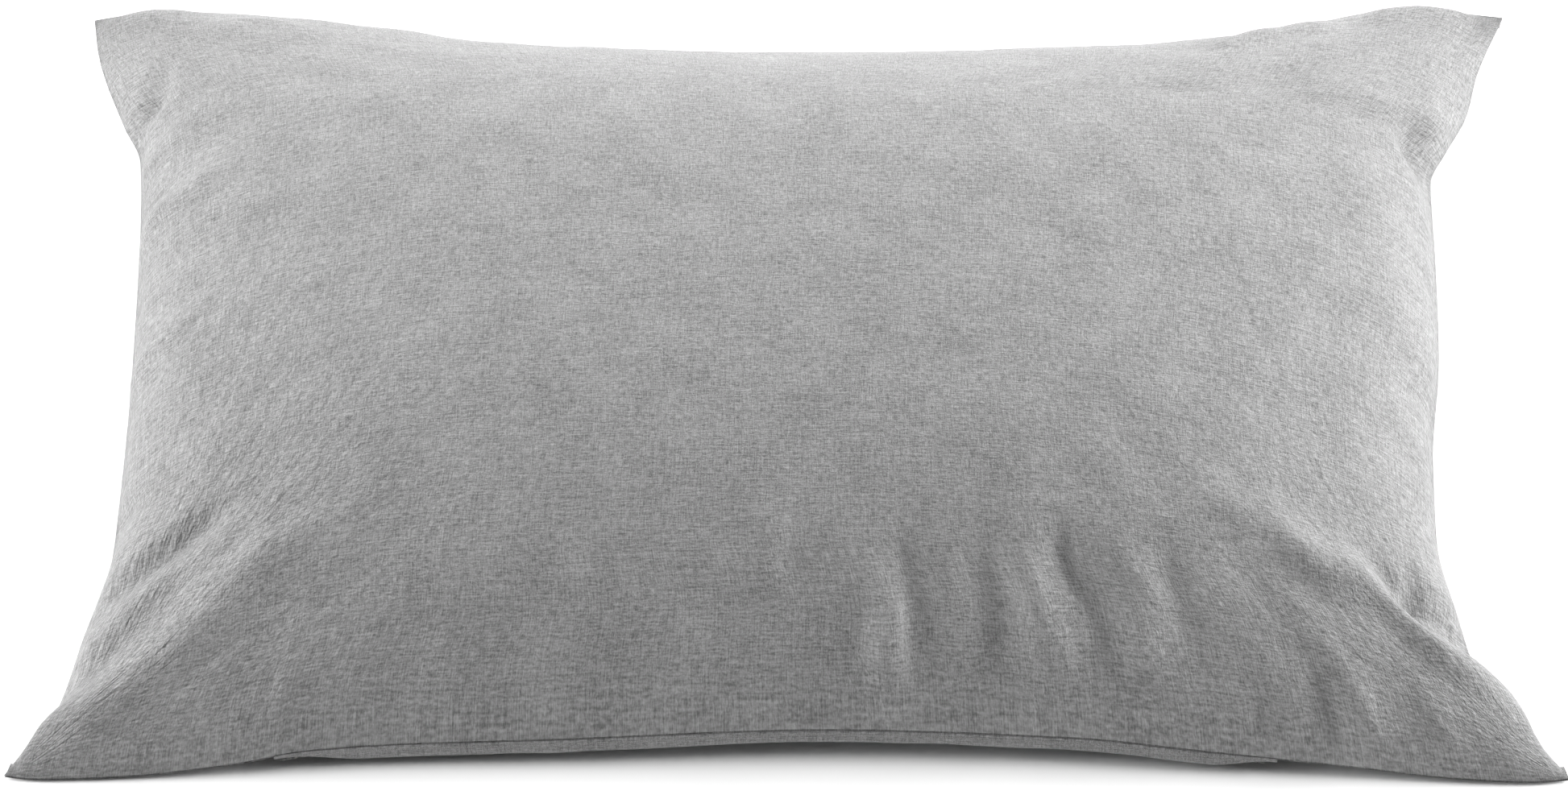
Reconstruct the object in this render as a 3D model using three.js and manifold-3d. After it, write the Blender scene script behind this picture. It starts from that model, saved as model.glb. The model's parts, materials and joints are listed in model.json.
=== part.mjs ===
// Bed pillow: a washed chambray cover that closes with a concealed zip under its front edge,
// around a filled insert in a cotton ticking.
//
// Frame, in millimetres: X runs along the long side, -Y is the zip edge, +Z is up, and the origin
// lies on the surface that the pillow rests on, under its middle.
import * as THREE from 'three';
import { mergeGeometries, mergeVertices } from 'three/addons/utils/BufferGeometryUtils.js';
import Module from 'manifold-3d';

const wasm = await Module();
wasm.setup();

// ---- driving dimensions -------------------------------------------------------------------
const CORNER_X = 363; // half the length from corner tip to corner tip, filled (750 cut flat)
const CORNER_Y = 240; // half the depth from corner tip to corner tip, filled (500 cut flat)
const THICKNESS = 150; // from the resting plane to the crown
const SIDE_PULL = 46; // how far the filling draws each short edge in at its middle
const LONG_PULL = { front: 13, back: 28 }; // the same for each long edge
const SEAM = { frontMid: 23, frontCorner: 3, backMid: 36, backCorner: 34, sideLift: 22 };
const STRAIGHT_LONG = 0.66; // share of the front edge that stays straight, which holds the zip
const STRAIGHT_SIDE = 0.3; // share of a short edge that stays straight

const CLOTH = 1.2; // wall of the cover's cloth
const TICKING = 1.0; // wall of the insert's cloth
const GAP = 0.3; // clearance between pieces that touch
const THREAD_R = 0.4; // radius of a sewing thread

const INSERT = { side: 19, long: 20, top: 5, floor: 2.6, lift: 4.8 }; // how far inside the cover
const FILLING = { side: 30, long: 31, top: 8.5, floor: 6, lift: 8 }; // how far inside it too
const PIPING_R = 1.3; // radius of the cord round the insert's edge

const ZIP = { left: -229, right: 219, downSlope: 15, slot: 10 }; // chain's ends, place and window
const TAPE = { width: 10.4, wall: 0.6, overrun: 9 }; // each zip tape
const COIL = { inner: 0.6, outer: 2.2, low: -1.2, high: 1.0 }; // one side of the chain, local Y, Z
const SLIDER = { length: 10, width: 7.4, restX: 212, plate: 1.0 };
const PULL = { length: 13.5, width: 4.6, wall: 0.9, hingeZ: 3.2, eye: 3.6 };

// ---- form of the pillow -------------------------------------------------------------------
const GRID = { u: 24, v: 16, crowding: 0.6 }; // cells across each panel, closer near the seams
const CROWN = { roundness: 2.4, fullness: 0.6 };
const HEM_CELLS = 2; // cells of the underside's sloping margin

const lerp = (from, to, share) => from + (to - from) * share;

/** 1 along the straight middle of an edge, falling to 0 at its corner. */
function ease(t, straight) {
  const past = Math.max(0, Math.abs(t) - straight) / (1 - straight);
  return 1 - past * past;
}

/** Grid lines from -1 to 1, closer together at the ends. */
function gridLines(cells) {
  const lines = [];
  for (let i = 0; i <= cells; i += 1) {
    const t = (2 * i) / cells - 1;
    lines.push(lerp(t, Math.sin((t * Math.PI) / 2), GRID.crowding));
  }
  return lines;
}

const U_LINES = gridLines(GRID.u);
const V_LINES = gridLines(GRID.v);
const U_HEM = U_LINES[GRID.u - HEM_CELLS];
const V_HEM = V_LINES[GRID.v - HEM_CELLS];

/** A filled pillow that lies flat: its planform, seam, crown and underside. */
class PillowForm {
  constructor(inset = { side: 0, long: 0, top: 0, floor: 0, lift: 0 }) {
    this.inset = inset;
    this.cornerX = CORNER_X - inset.side;
    this.cornerY = CORNER_Y - inset.long;
  }

  plan(u, v) {
    const x = u * (this.cornerX - SIDE_PULL * ease(v, STRAIGHT_SIDE));
    const frontPull = LONG_PULL.front * ease(u, STRAIGHT_LONG);
    const backPull = LONG_PULL.back * (1 - u * u) ** 2;
    const y = v * (this.cornerY - (v < 0 ? frontPull : backPull));
    return [x, y];
  }

  seamHeight(u, v) {
    const along = ease(u, STRAIGHT_LONG);
    const front = lerp(SEAM.frontCorner, SEAM.frontMid, along);
    const back = lerp(SEAM.backCorner, SEAM.backMid, along);
    const lift = SEAM.sideLift * (1 - v * v) * u * u;
    return lerp(front, back, (v + 1) / 2) + lift + this.inset.lift;
  }

  topPoint(u, v) {
    const arch = (1 - Math.abs(u) ** CROWN.roundness) * (1 - Math.abs(v) ** CROWN.roundness);
    const crown = Math.max(0, arch) ** CROWN.fullness;
    const height = lerp(this.seamHeight(u, v), THICKNESS - this.inset.top, crown);
    return new THREE.Vector3(...this.plan(u, v), height);
  }

  bottomPoint(u, v) {
    const fromSide = (1 - Math.abs(u)) / (1 - U_HEM);
    const fromLong = (1 - Math.abs(v)) / (1 - V_HEM);
    const rim = fromLong < fromSide
      ? this.seamHeight(u, Math.sign(v)) : this.seamHeight(Math.sign(u), v);
    const height = lerp(rim, this.inset.floor, Math.min(1, fromSide, fromLong));
    return new THREE.Vector3(...this.plan(u, v), height);
  }

  /** The seam's points, once round from the front edge's left end, anticlockwise from above. */
  rim() {
    return rimOrder().map(([i, j]) => {
      const [u, v] = [U_LINES[i], V_LINES[j]];
      return new THREE.Vector3(...this.plan(u, v), this.seamHeight(u, v));
    });
  }
}

/** Grid cells' corners round the edge of a panel, anticlockwise from above. */
function rimOrder() {
  const order = [];
  for (let i = 0; i < GRID.u; i += 1) order.push([i, 0]);
  for (let j = 0; j < GRID.v; j += 1) order.push([GRID.u, j]);
  for (let i = GRID.u; i > 0; i -= 1) order.push([i, GRID.v]);
  for (let j = GRID.v; j > 0; j -= 1) order.push([0, j]);
  return order;
}

const gridIndex = (i, j) => j * (GRID.u + 1) + i;

/** A panel's surface as grid points; shiftZ lifts it off the other panel at the seam. */
function panelPoints(form, side, shiftZ) {
  const points = [];
  for (const v of V_LINES) {
    for (const u of U_LINES) {
      const point = side === 'top' ? form.topPoint(u, v) : form.bottomPoint(u, v);
      const onRim = Math.abs(u) === 1 || Math.abs(v) === 1;
      if (onRim) point.z += shiftZ;
      points.push(point);
    }
  }
  return points;
}

/** Triangles of a grid that faces up, or down when it is turned over. */
function gridFaces(offset, turned) {
  const faces = [];
  for (let j = 0; j < GRID.v; j += 1) {
    for (let i = 0; i < GRID.u; i += 1) {
      const corners = [[i, j], [i + 1, j], [i + 1, j + 1], [i, j + 1]];
      const outwards = (i < GRID.u / 2) === (j < GRID.v / 2); // diagonals run to the corners
      if (!outwards) corners.push(corners.shift());
      const [a, b, c, d] = corners.map(([ci, cj]) => offset + gridIndex(ci, cj));
      faces.push(...(turned ? [a, c, b, a, d, c] : [a, b, c, a, c, d]));
    }
  }
  return faces;
}

function geometryOf(points, faces) {
  const geometry = new THREE.BufferGeometry();
  const flat = points.flatMap((point) => [point.x, point.y, point.z]);
  geometry.setAttribute('position', new THREE.Float32BufferAttribute(flat, 3));
  geometry.setIndex(faces);
  geometry.computeVertexNormals();
  return geometry;
}

/** Unit normals of the triangles round each point. */
function normalsAt(points, faces) {
  const around = points.map(() => []);
  for (let k = 0; k < faces.length; k += 3) {
    const [a, b, c] = faces.slice(k, k + 3).map((index) => points[index]);
    const normal = new THREE.Vector3().crossVectors(b.clone().sub(a), c.clone().sub(a));
    normal.normalize();
    faces.slice(k, k + 3).forEach((index) => around[index].push(normal));
  }
  return around;
}

/** The inner face of a cloth wall: inwards by the wall, and level along the seam. */
function innerPoints(points, faces, wall) {
  const around = normalsAt(points, faces);
  const rim = new Map(rimOrder().map(([i, j], place) => [gridIndex(i, j), place]));
  const loop = rimOrder().map(([i, j]) => gridIndex(i, j));
  return points.map((point, index) => {
    const mean = new THREE.Vector3();
    around[index].forEach((normal) => mean.add(normal));
    mean.normalize();
    if (!rim.has(index)) {
      const lean = Math.max(0.5, mean.dot(around[index][0]));
      return point.clone().addScaledVector(mean, -wall / lean);
    }
    const place = rim.get(index);
    const before = points[loop[(place + loop.length - 1) % loop.length]];
    const after = points[loop[(place + 1) % loop.length]];
    const outward = new THREE.Vector3(after.y - before.y, before.x - after.x, 0).normalize();
    const level = Math.max(0.45, Math.hypot(mean.x, mean.y));
    return point.clone().addScaledVector(outward, -wall / level);
  });
}

/** One cloth panel of a pillow form, as a shell that is open along its seam. */
function panelShell(form, side, wall) {
  const outer = panelPoints(form, side, side === 'top' ? GAP : -GAP);
  const turned = side === 'bottom';
  const outerFaces = gridFaces(0, turned);
  const inner = innerPoints(outer, outerFaces, wall);
  const faces = [...outerFaces, ...gridFaces(outer.length, !turned)];
  const loop = rimOrder().map(([i, j]) => gridIndex(i, j));
  loop.forEach((here, place) => {
    const next = loop[(place + 1) % loop.length];
    const [c, d] = [here + outer.length, next + outer.length];
    faces.push(...(turned ? [here, next, d, here, d, c] : [here, d, next, here, c, d]));
  });
  return geometryOf([...outer, ...inner], faces);
}

/** The whole form as one solid, closed along its seam. */
function formSolid(form) {
  const top = geometryOf(panelPoints(form, 'top', 0), gridFaces(0, false));
  const bottom = geometryOf(panelPoints(form, 'bottom', 0), gridFaces(0, true));
  return merged(mergeGeometries([top, bottom]));
}

// ---- joining and cutting ------------------------------------------------------------------
function merged(geometry) {
  const plain = geometry.clone();
  plain.deleteAttribute('normal');
  if (plain.hasAttribute('uv')) plain.deleteAttribute('uv');
  return mergeVertices(plain, 1e-4);
}

function solidOf(geometry) {
  const plain = merged(geometry);
  const vertProperties = new Float32Array(plain.attributes.position.array);
  const triVerts = new Uint32Array(plain.index.array);
  return new wasm.Manifold(new wasm.Mesh({ numProp: 3, vertProperties, triVerts }));
}

function geometryFrom(solid) {
  const { vertProperties, triVerts } = solid.getMesh();
  const geometry = new THREE.BufferGeometry();
  geometry.setAttribute('position', new THREE.BufferAttribute(vertProperties, 3));
  geometry.setIndex(new THREE.BufferAttribute(triVerts, 1));
  geometry.computeVertexNormals();
  return geometry;
}

const joined = (geometries) => geometryFrom(
  geometries.map(solidOf).reduce((whole, piece) => whole.add(piece)),
);

// ---- simple shapes ------------------------------------------------------------------------
/** A box from its lowest to its highest corner. */
function boxBetween(low, high) {
  const size = high.map((value, axis) => value - low[axis]);
  const box = new THREE.BoxGeometry(...size);
  return box.translate(...low.map((value, axis) => value + size[axis] / 2));
}

/** A section in local Y and Z, drawn out along X. */
function barAlongX(outline, fromX, toX) {
  const shape = new THREE.Shape(outline.map(([y, z]) => new THREE.Vector2(y, z)));
  const bar = new THREE.ExtrudeGeometry(shape, { depth: toX - fromX, bevelEnabled: false });
  const turn = new THREE.Matrix4().makeBasis(
    new THREE.Vector3(0, 1, 0), new THREE.Vector3(0, 0, 1), new THREE.Vector3(1, 0, 0),
  );
  return bar.applyMatrix4(turn).translate(fromX, 0, 0);
}

/** Corners of a regular section round a centre. */
function ringOutline(centreY, centreZ, radius, sides) {
  return Array.from({ length: sides }, (_, k) => {
    const angle = ((k + 0.5) * 2 * Math.PI) / sides;
    return [centreY + radius * Math.cos(angle), centreZ + radius * Math.sin(angle)];
  });
}

/** A cord through the given points, on a run that goes round in plan; closed or with flat ends. */
function cordThrough(path, radius, sides, closed) {
  const points = [];
  const last = path.length - 1;
  path.forEach((point, k) => {
    const before = path[k === 0 ? (closed ? last : 0) : k - 1];
    const after = path[k === last ? (closed ? 0 : last) : k + 1];
    const along = after.clone().sub(before).normalize();
    const level = new THREE.Vector3(along.y, -along.x, 0).normalize();
    const upright = new THREE.Vector3().crossVectors(level, along);
    for (let s = 0; s < sides; s += 1) {
      const angle = (s * 2 * Math.PI) / sides;
      points.push(point.clone()
        .addScaledVector(level, radius * Math.cos(angle))
        .addScaledVector(upright, radius * Math.sin(angle)));
    }
  });
  const faces = [];
  const rings = closed ? path.length : last;
  for (let k = 0; k < rings; k += 1) {
    for (let s = 0; s < sides; s += 1) {
      const [a, b] = [k * sides + s, k * sides + ((s + 1) % sides)];
      const [c, d] = [a, b].map((index) => (index + sides) % points.length);
      faces.push(a, d, b, a, c, d);
    }
  }
  if (!closed) {
    for (let s = 1; s < sides - 1; s += 1) {
      faces.push(0, s, s + 1, last * sides, last * sides + s + 1, last * sides + s);
    }
  }
  return geometryOf(points, faces);
}

/** A loop moved level and outwards, and lifted. */
function offsetLoop(loop, outwards, lift) {
  return loop.map((point, place) => {
    const before = loop[(place + loop.length - 1) % loop.length];
    const after = loop[(place + 1) % loop.length];
    const outward = new THREE.Vector3(after.y - before.y, before.x - after.x, 0).normalize();
    return point.clone().addScaledVector(outward, outwards).setZ(point.z + lift);
  });
}

// ---- finishes -----------------------------------------------------------------------------
const finish = (color, roughness, metalness = 0) => (
  new THREE.MeshStandardMaterial({ color, roughness, metalness })
);
const CHAMBRAY = () => finish('#a9a9a8', 0.95);
const GREY_THREAD = () => finish('#8a8a89', 0.8);
const GREY_TAPE = () => finish('#9b9b9a', 0.9);
const GREY_NYLON = () => finish('#8f9091', 0.45);
const NICKEL = () => finish('#b9b7b2', 0.3, 1);
const WHITE_SATIN = () => finish('#f0efeb', 0.6);
const WHITE_COTTON = () => finish('#eceae4', 0.95);
const WHITE_THREAD = () => finish('#e6e4dd', 0.8);
const POLYESTER_FIBRE = () => finish('#f6f6f3', 1);

const pillow = new THREE.Group();
pillow.name = 'bed_pillow';

function place(parent, name, geometry, material) {
  const mesh = new THREE.Mesh(geometry, material);
  mesh.name = name;
  parent.add(mesh);
  return mesh;
}

// ---- the zip's own frame: X along the chain, Y up the slope, Z out of the cover -----------
const cover = new PillowForm();
const seamY = cover.plan(0, -1)[1];
const hemY = cover.plan(0, -V_HEM)[1];
const slopeAngle = Math.atan2(SEAM.frontMid, hemY - seamY);
const zip = new THREE.Group();
zip.name = 'zip';
zip.rotation.x = Math.PI - slopeAngle;
zip.position.set(
  0,
  seamY + ZIP.downSlope * Math.cos(slopeAngle),
  SEAM.frontMid - GAP - ZIP.downSlope * Math.sin(slopeAngle),
);
zip.updateMatrix();
pillow.add(zip);

// ---- cover --------------------------------------------------------------------------------
const ZIP_WINDOW_END = 3.5; // room past the chain's ends
function addCover() {
  place(pillow, 'cover_top_panel', panelShell(cover, 'top', CLOTH), CHAMBRAY());

  const window = boxBetween(
    [ZIP.left - ZIP_WINDOW_END, -ZIP.slot / 2, -CLOTH * 3],
    [ZIP.right + ZIP_WINDOW_END, ZIP.slot / 2, CLOTH * 3],
  ).applyMatrix4(zip.matrix);
  const bottom = solidOf(panelShell(cover, 'bottom', CLOTH)).subtract(solidOf(window));
  place(pillow, 'cover_bottom_panel', geometryFrom(bottom), CHAMBRAY());
}

/** The folded strip that hangs from the front seam over the zip. */
function addPlacket() {
  const drop = 11.5;
  const fold = 1.6; // two layers of cloth
  const flare = 2.2; // how far the free edge stands forward of the seam
  const backFace = seamY - 0.7;
  const top = SEAM.frontMid - 2 * GAP;
  const steps = 5;
  const front = [];
  const back = [];
  for (let k = 0; k <= steps; k += 1) {
    const share = k / steps;
    const forward = flare * Math.sin((share * Math.PI) / 2);
    front.push([backFace - fold - forward, top - drop * share]);
    back.unshift([backFace - forward, top - drop * share]);
  }
  const [fromX, toX] = [ZIP.left - 9, ZIP.right + 9];
  place(pillow, 'zip_placket', barAlongX([...front, ...back], fromX, toX), CHAMBRAY());

  const stitchZ = top - 3;
  const stitchY = backFace - fold - flare * Math.sin((3 / drop) * (Math.PI / 2)) - THREAD_R - GAP;
  const stitch = barAlongX(ringOutline(stitchY, stitchZ, THREAD_R, 6), fromX + 2, toX - 2);
  place(pillow, 'placket_topstitch', stitch, GREY_THREAD());
}

/** The thread of the closed seam: from one end of the zip round three sides to the other. */
function addSeamThread() {
  const groove = offsetLoop(cover.rim(), THREAD_R + GAP, 0);
  const firstPastZip = groove.findIndex((point) => point.x > ZIP.right + 14);
  const lastBeforeZip = groove.findIndex((point) => point.x > ZIP.left - 14) - 1;
  const run = [...groove.slice(firstPastZip), ...groove.slice(0, lastBeforeZip + 1)];
  place(pillow, 'cover_seam_thread', cordThrough(run, THREAD_R, 6, false), GREY_THREAD());
}

function addCareLabel() {
  const label = boxBetween([-284, 3, -2.6], [-254, 13, -2.0]);
  place(zip, 'cover_care_label', label, WHITE_SATIN());
}

// ---- zip ----------------------------------------------------------------------------------
/** Calls build once for the side above the chain and once for the side below it. */
function bothSides(build) {
  build('upper', 1);
  build('lower', -1);
}

const spanY = (side, near, far) => (side > 0 ? [near, far] : [-far, -near]);

function addZipTapes() {
  const tapeTop = COIL.low - GAP;
  bothSides((name, side) => {
    const [lowY, highY] = spanY(side, COIL.inner, COIL.inner + TAPE.width);
    const tape = boxBetween(
      [ZIP.left - TAPE.overrun, lowY, tapeTop - TAPE.wall],
      [ZIP.right + TAPE.overrun, highY, tapeTop],
    );
    place(zip, `zip_tape_${name}`, tape, GREY_TAPE());

    const stitchY = side * (ZIP.slot / 2 + 2);
    const thread = ringOutline(stitchY, THREAD_R + GAP, THREAD_R, 6);
    const stitch = barAlongX(thread, ZIP.left - 5, ZIP.right + 5);
    place(zip, `zip_stitch_${name}`, stitch, GREY_THREAD());
  });
}

/** Each side of the chain is a half-round bar, the outer shape of the sewn-on nylon coil. */
function addZipCoils() {
  const shoulder = 0.7;
  bothSides((name, side) => {
    const section = [
      [side * COIL.inner, COIL.low],
      [side * COIL.inner, COIL.high - shoulder / 2],
      [side * (COIL.inner + shoulder), COIL.high],
      [side * (COIL.outer - shoulder), COIL.high],
      [side * COIL.outer, COIL.high - shoulder],
      [side * COIL.outer, COIL.low],
    ];
    const turned = side > 0 ? section.reverse() : section;
    place(zip, `zip_coil_${name}`, barAlongX(turned, ZIP.left, ZIP.right), GREY_NYLON());

    const [lowY, highY] = spanY(side, COIL.inner, COIL.outer + 0.3);
    const stop = boxBetween(
      [ZIP.right + GAP, lowY, COIL.low],
      [ZIP.right + GAP + 2.2, highY, COIL.high + 0.2],
    );
    place(zip, `zip_top_stop_${name}`, stop, NICKEL());
  });
  const bottomStop = boxBetween(
    [ZIP.left - GAP - 2.4, -COIL.outer - 0.3, COIL.low],
    [ZIP.left - GAP, COIL.outer + 0.3, COIL.high + 0.3],
  );
  place(zip, 'zip_bottom_stop', bottomStop, NICKEL());
}

/** Dense stitching across each end of the zip. */
function addBartacks() {
  const ends = { left: ZIP.left - 6.5, right: ZIP.right + 5.5 };
  Object.entries(ends).forEach(([name, x]) => {
    const half = ZIP.slot / 2 + 0.8;
    const tack = boxBetween([x, -half, GAP], [x + 1.6, half, GAP + 0.8]);
    place(zip, `zip_bartack_${name}`, tack, GREY_THREAD());
  });
}

/** One plate of the slider: straight sides that narrow towards the closed chain. */
function sliderPlate(lowZ, highZ) {
  const [half, wide, narrow] = [SLIDER.length / 2, SLIDER.width / 2, SLIDER.width / 2 - 0.5];
  const shape = new THREE.Shape();
  shape.moveTo(-half, -narrow + 0.8);
  shape.quadraticCurveTo(-half, -narrow, -half + 0.8, -narrow);
  shape.lineTo(half - 2.4, -wide);
  shape.quadraticCurveTo(half, -wide, half, -wide + 2.0);
  shape.lineTo(half, wide - 2.0);
  shape.quadraticCurveTo(half, wide, half - 2.4, wide);
  shape.lineTo(-half + 0.8, narrow);
  shape.quadraticCurveTo(-half, narrow, -half, narrow - 0.8);
  shape.closePath();
  const options = { depth: highZ - lowZ, bevelEnabled: false, curveSegments: 4 };
  return new THREE.ExtrudeGeometry(shape, options).translate(0, 0, lowZ);
}

function addSlider() {
  const half = SLIDER.length / 2;
  const outerLow = COIL.high + GAP;
  const outerHigh = outerLow + SLIDER.plate;
  const innerHigh = COIL.low - GAP - TAPE.wall - GAP;
  const post = boxBetween([half - 2.6, -0.3, innerHigh - 0.2], [half - 0.6, 0.3, outerLow + 0.2]);
  const archTop = PULL.hingeZ + PULL.wall / 2 + 0.5;
  const archWide = 0.8;
  const arch = [
    boxBetween([-3.0, -archWide, outerHigh - 0.1], [-1.9, archWide, archTop + 0.8]),
    boxBetween([1.9, -archWide, outerHigh - 0.1], [3.0, archWide, archTop + 0.8]),
    boxBetween([-3.0, -archWide, archTop], [3.0, archWide, archTop + 0.8]),
  ];
  const flanges = [-1, 1].map((side) => {
    const [lowY, highY] = spanY(side, COIL.outer + 0.4, SLIDER.width / 2 - 0.5);
    return boxBetween([-half + 1.2, lowY, COIL.low + GAP], [half - 2.4, highY, outerLow + 0.1]);
  });
  const body = joined([
    sliderPlate(outerLow, outerHigh),
    sliderPlate(innerHigh - SLIDER.plate, innerHigh),
    post, ...arch, ...flanges,
  ]);
  place(zip, 'zip_slider', body, NICKEL()).position.x = SLIDER.restX;
}

/** A flat drop-shaped tab whose cross bar turns inside the slider's arch. */
function addPull() {
  const half = PULL.width / 2;
  const bar = PULL.wall / 2;
  const shape = new THREE.Shape();
  shape.moveTo(-bar, -half + 0.6);
  shape.lineTo(-bar + 0.3, -half + 0.3);
  shape.lineTo(PULL.eye + 1, -half);
  shape.bezierCurveTo(PULL.length - 3, -half - 0.6, PULL.length, -half, PULL.length, 0);
  shape.bezierCurveTo(PULL.length, half, PULL.length - 3, half + 0.6, PULL.eye + 1, half);
  shape.lineTo(-bar + 0.3, half - 0.3);
  shape.lineTo(-bar, half - 0.6);
  shape.closePath();
  const eye = new THREE.Path();
  eye.moveTo(bar, -1.15);
  eye.lineTo(bar, 1.15);
  eye.lineTo(PULL.eye, 1.15);
  eye.lineTo(PULL.eye, -1.15);
  eye.closePath();
  const hole = new THREE.Path();
  hole.absarc(PULL.length - 3, 0, 1.1, 0, 2 * Math.PI, true);
  shape.holes.push(eye, hole);
  const options = { depth: PULL.wall, bevelEnabled: false, curveSegments: 10 };
  const tab = new THREE.ExtrudeGeometry(shape, options).translate(0, 0, -PULL.wall / 2);
  place(zip, 'zip_pull', tab, NICKEL()).position.set(SLIDER.restX, 0, PULL.hingeZ);
}

// ---- insert -------------------------------------------------------------------------------
function addInsert() {
  const insert = new PillowForm(INSERT);
  place(pillow, 'insert_ticking_top', panelShell(insert, 'top', TICKING), WHITE_COTTON());
  place(pillow, 'insert_ticking_bottom', panelShell(insert, 'bottom', TICKING), WHITE_COTTON());
  place(pillow, 'insert_filling', formSolid(new PillowForm(FILLING)), POLYESTER_FIBRE());

  const cord = offsetLoop(insert.rim(), PIPING_R + GAP, 0);
  place(pillow, 'insert_edge_piping', cordThrough(cord, PIPING_R, 6, true), WHITE_COTTON());

  const backY = insert.plan(0, 1)[1] + PIPING_R + GAP;
  const backZ = insert.seamHeight(0, 1);
  const stitchZ = backZ + PIPING_R + GAP + THREAD_R;
  const closing = barAlongX(ringOutline(backY, stitchZ, THREAD_R, 6), -60, 60);
  place(pillow, 'insert_closing_stitch', closing, WHITE_THREAD());

  const labelY = insert.plan(-0.34, 1)[1] + 2 * (PIPING_R + GAP);
  const label = boxBetween([-110, labelY, backZ - 0.4], [-75, labelY + 8, backZ + 0.3]);
  place(pillow, 'insert_label', label, WHITE_SATIN());
}

addCover();
addPlacket();
addSeamThread();
addCareLabel();
addZipTapes();
addZipCoils();
addBartacks();
addSlider();
addPull();
addInsert();

export default pillow;
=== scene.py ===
"""Looks of a bed pillow in a grey washed chambray cover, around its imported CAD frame.

Metres, +X along the long side, -Y the zip edge, +Z up, origin on the resting plane. The cover is
two panels of cloth, cut flat and sewn along their rim, which a filled form and a cloth simulation
bring to shape. A folded placket under the front seam hides the zip.
"""

import json
import logging
import math
from dataclasses import dataclass, field
from enum import Enum

import bpy
import numpy as np
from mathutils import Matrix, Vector

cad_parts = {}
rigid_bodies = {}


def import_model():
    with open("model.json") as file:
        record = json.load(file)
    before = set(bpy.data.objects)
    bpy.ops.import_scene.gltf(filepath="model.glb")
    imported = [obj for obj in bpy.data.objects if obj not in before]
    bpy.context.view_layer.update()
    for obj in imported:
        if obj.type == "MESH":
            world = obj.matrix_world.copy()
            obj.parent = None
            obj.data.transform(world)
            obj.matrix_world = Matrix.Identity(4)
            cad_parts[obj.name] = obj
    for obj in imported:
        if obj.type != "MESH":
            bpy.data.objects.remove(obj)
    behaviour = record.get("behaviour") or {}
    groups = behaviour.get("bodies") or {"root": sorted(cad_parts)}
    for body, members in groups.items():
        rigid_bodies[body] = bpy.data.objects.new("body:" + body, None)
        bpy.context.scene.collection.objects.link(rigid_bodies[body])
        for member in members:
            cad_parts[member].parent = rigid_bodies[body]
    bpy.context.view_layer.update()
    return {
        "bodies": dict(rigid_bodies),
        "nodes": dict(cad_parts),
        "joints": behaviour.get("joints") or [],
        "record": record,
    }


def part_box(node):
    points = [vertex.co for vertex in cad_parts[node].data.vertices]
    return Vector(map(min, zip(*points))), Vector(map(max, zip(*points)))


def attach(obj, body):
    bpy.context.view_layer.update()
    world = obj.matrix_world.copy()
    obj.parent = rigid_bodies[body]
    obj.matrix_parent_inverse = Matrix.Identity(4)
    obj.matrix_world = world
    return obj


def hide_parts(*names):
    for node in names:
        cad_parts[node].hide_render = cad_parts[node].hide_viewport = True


LOG = logging.getLogger("bed_pillow")
MM = 0.001
CLOTH_MAP = "cut_cloth"
CLOTH_HALF = (375.0, 250.0)
PILLOW_BODY = "pillow"
# A share of the cut cloth's half size past which a point counts as on its rim.
NEARLY_ONE = 0.9999
# A diagonal wave texture of this scale has its bands roughly one unit apart.
BAND_SCALE = 0.31


class Side(Enum):
    """The two panels of a cover or a ticking."""

    TOP = 1
    BOTTOM = -1


# ---- small tools --------------------------------------------------------------------------
def linear(hex_colour: str) -> tuple[float, float, float, float]:
    """Turn an sRGB hex colour to linear RGBA.

    Args:
        hex_colour: The colour as "#rrggbb".

    Returns:
        Red, green, blue and an alpha of 1.
    """
    channels = [int(hex_colour[i : i + 2], 16) / 255 for i in (1, 3, 5)]
    curve = [c / 12.92 if c <= 0.04045 else ((c + 0.055) / 1.055) ** 2.4 for c in channels]
    return (*curve, 1.0)


def add_node(
    tree: bpy.types.NodeTree,
    kind: str,
    settings: dict[str, object] | None = None,
    inputs: dict[str, object] | None = None,
) -> bpy.types.Node:
    """Add a shader node with its settings, values and links.

    Args:
        tree: The material's node tree.
        kind: The node's type name.
        settings: Attributes to set on the node.
        inputs: Values or output sockets, by the input's name or index.

    Returns:
        The new node.
    """
    node = tree.nodes.new(kind)
    for name, value in (settings or {}).items():
        setattr(node, name, value)
    for name, value in (inputs or {}).items():
        if isinstance(value, bpy.types.NodeSocket):
            tree.links.new(value, node.inputs[name])
        else:
            node.inputs[name].default_value = value
    return node


def smooth_step(low: float, high: float, value: np.ndarray) -> np.ndarray:
    """Rise smoothly from 0 at low to 1 at high, or fall where low is the greater."""
    share = np.clip((value - low) / (high - low), 0.0, 1.0)
    return share * share * (3.0 - 2.0 * share)


def smooth_curve(points: tuple[tuple[float, float], ...], at: np.ndarray) -> np.ndarray:
    """Read a smooth curve through a few points.

    Args:
        points: Pairs of place and value, with places rising.
        at: The places to read.

    Returns:
        The value at each place, with no overshoot between points.
    """
    xs, ys = (np.array(column, float) for column in zip(*points))
    steps = np.diff(ys) / np.diff(xs)
    slopes = np.zeros_like(ys)
    same = steps[:-1] * steps[1:] > 0
    mean = 2.0 * steps[:-1] * steps[1:] / np.where(same, steps[:-1] + steps[1:], 1.0)
    slopes[1:-1] = np.where(same, mean, 0.0)
    slopes[0], slopes[-1] = steps[0], steps[-1]
    place = np.clip(np.searchsorted(xs, at) - 1, 0, len(xs) - 2)
    width = xs[place + 1] - xs[place]
    t = (at - xs[place]) / width
    h00, h10 = (1 + 2 * t) * (1 - t) ** 2, t * (1 - t) ** 2
    h01, h11 = t * t * (3 - 2 * t), t * t * (t - 1)
    left = h00 * ys[place] + h10 * width * slopes[place]
    return left + h01 * ys[place + 1] + h11 * width * slopes[place + 1]


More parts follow.
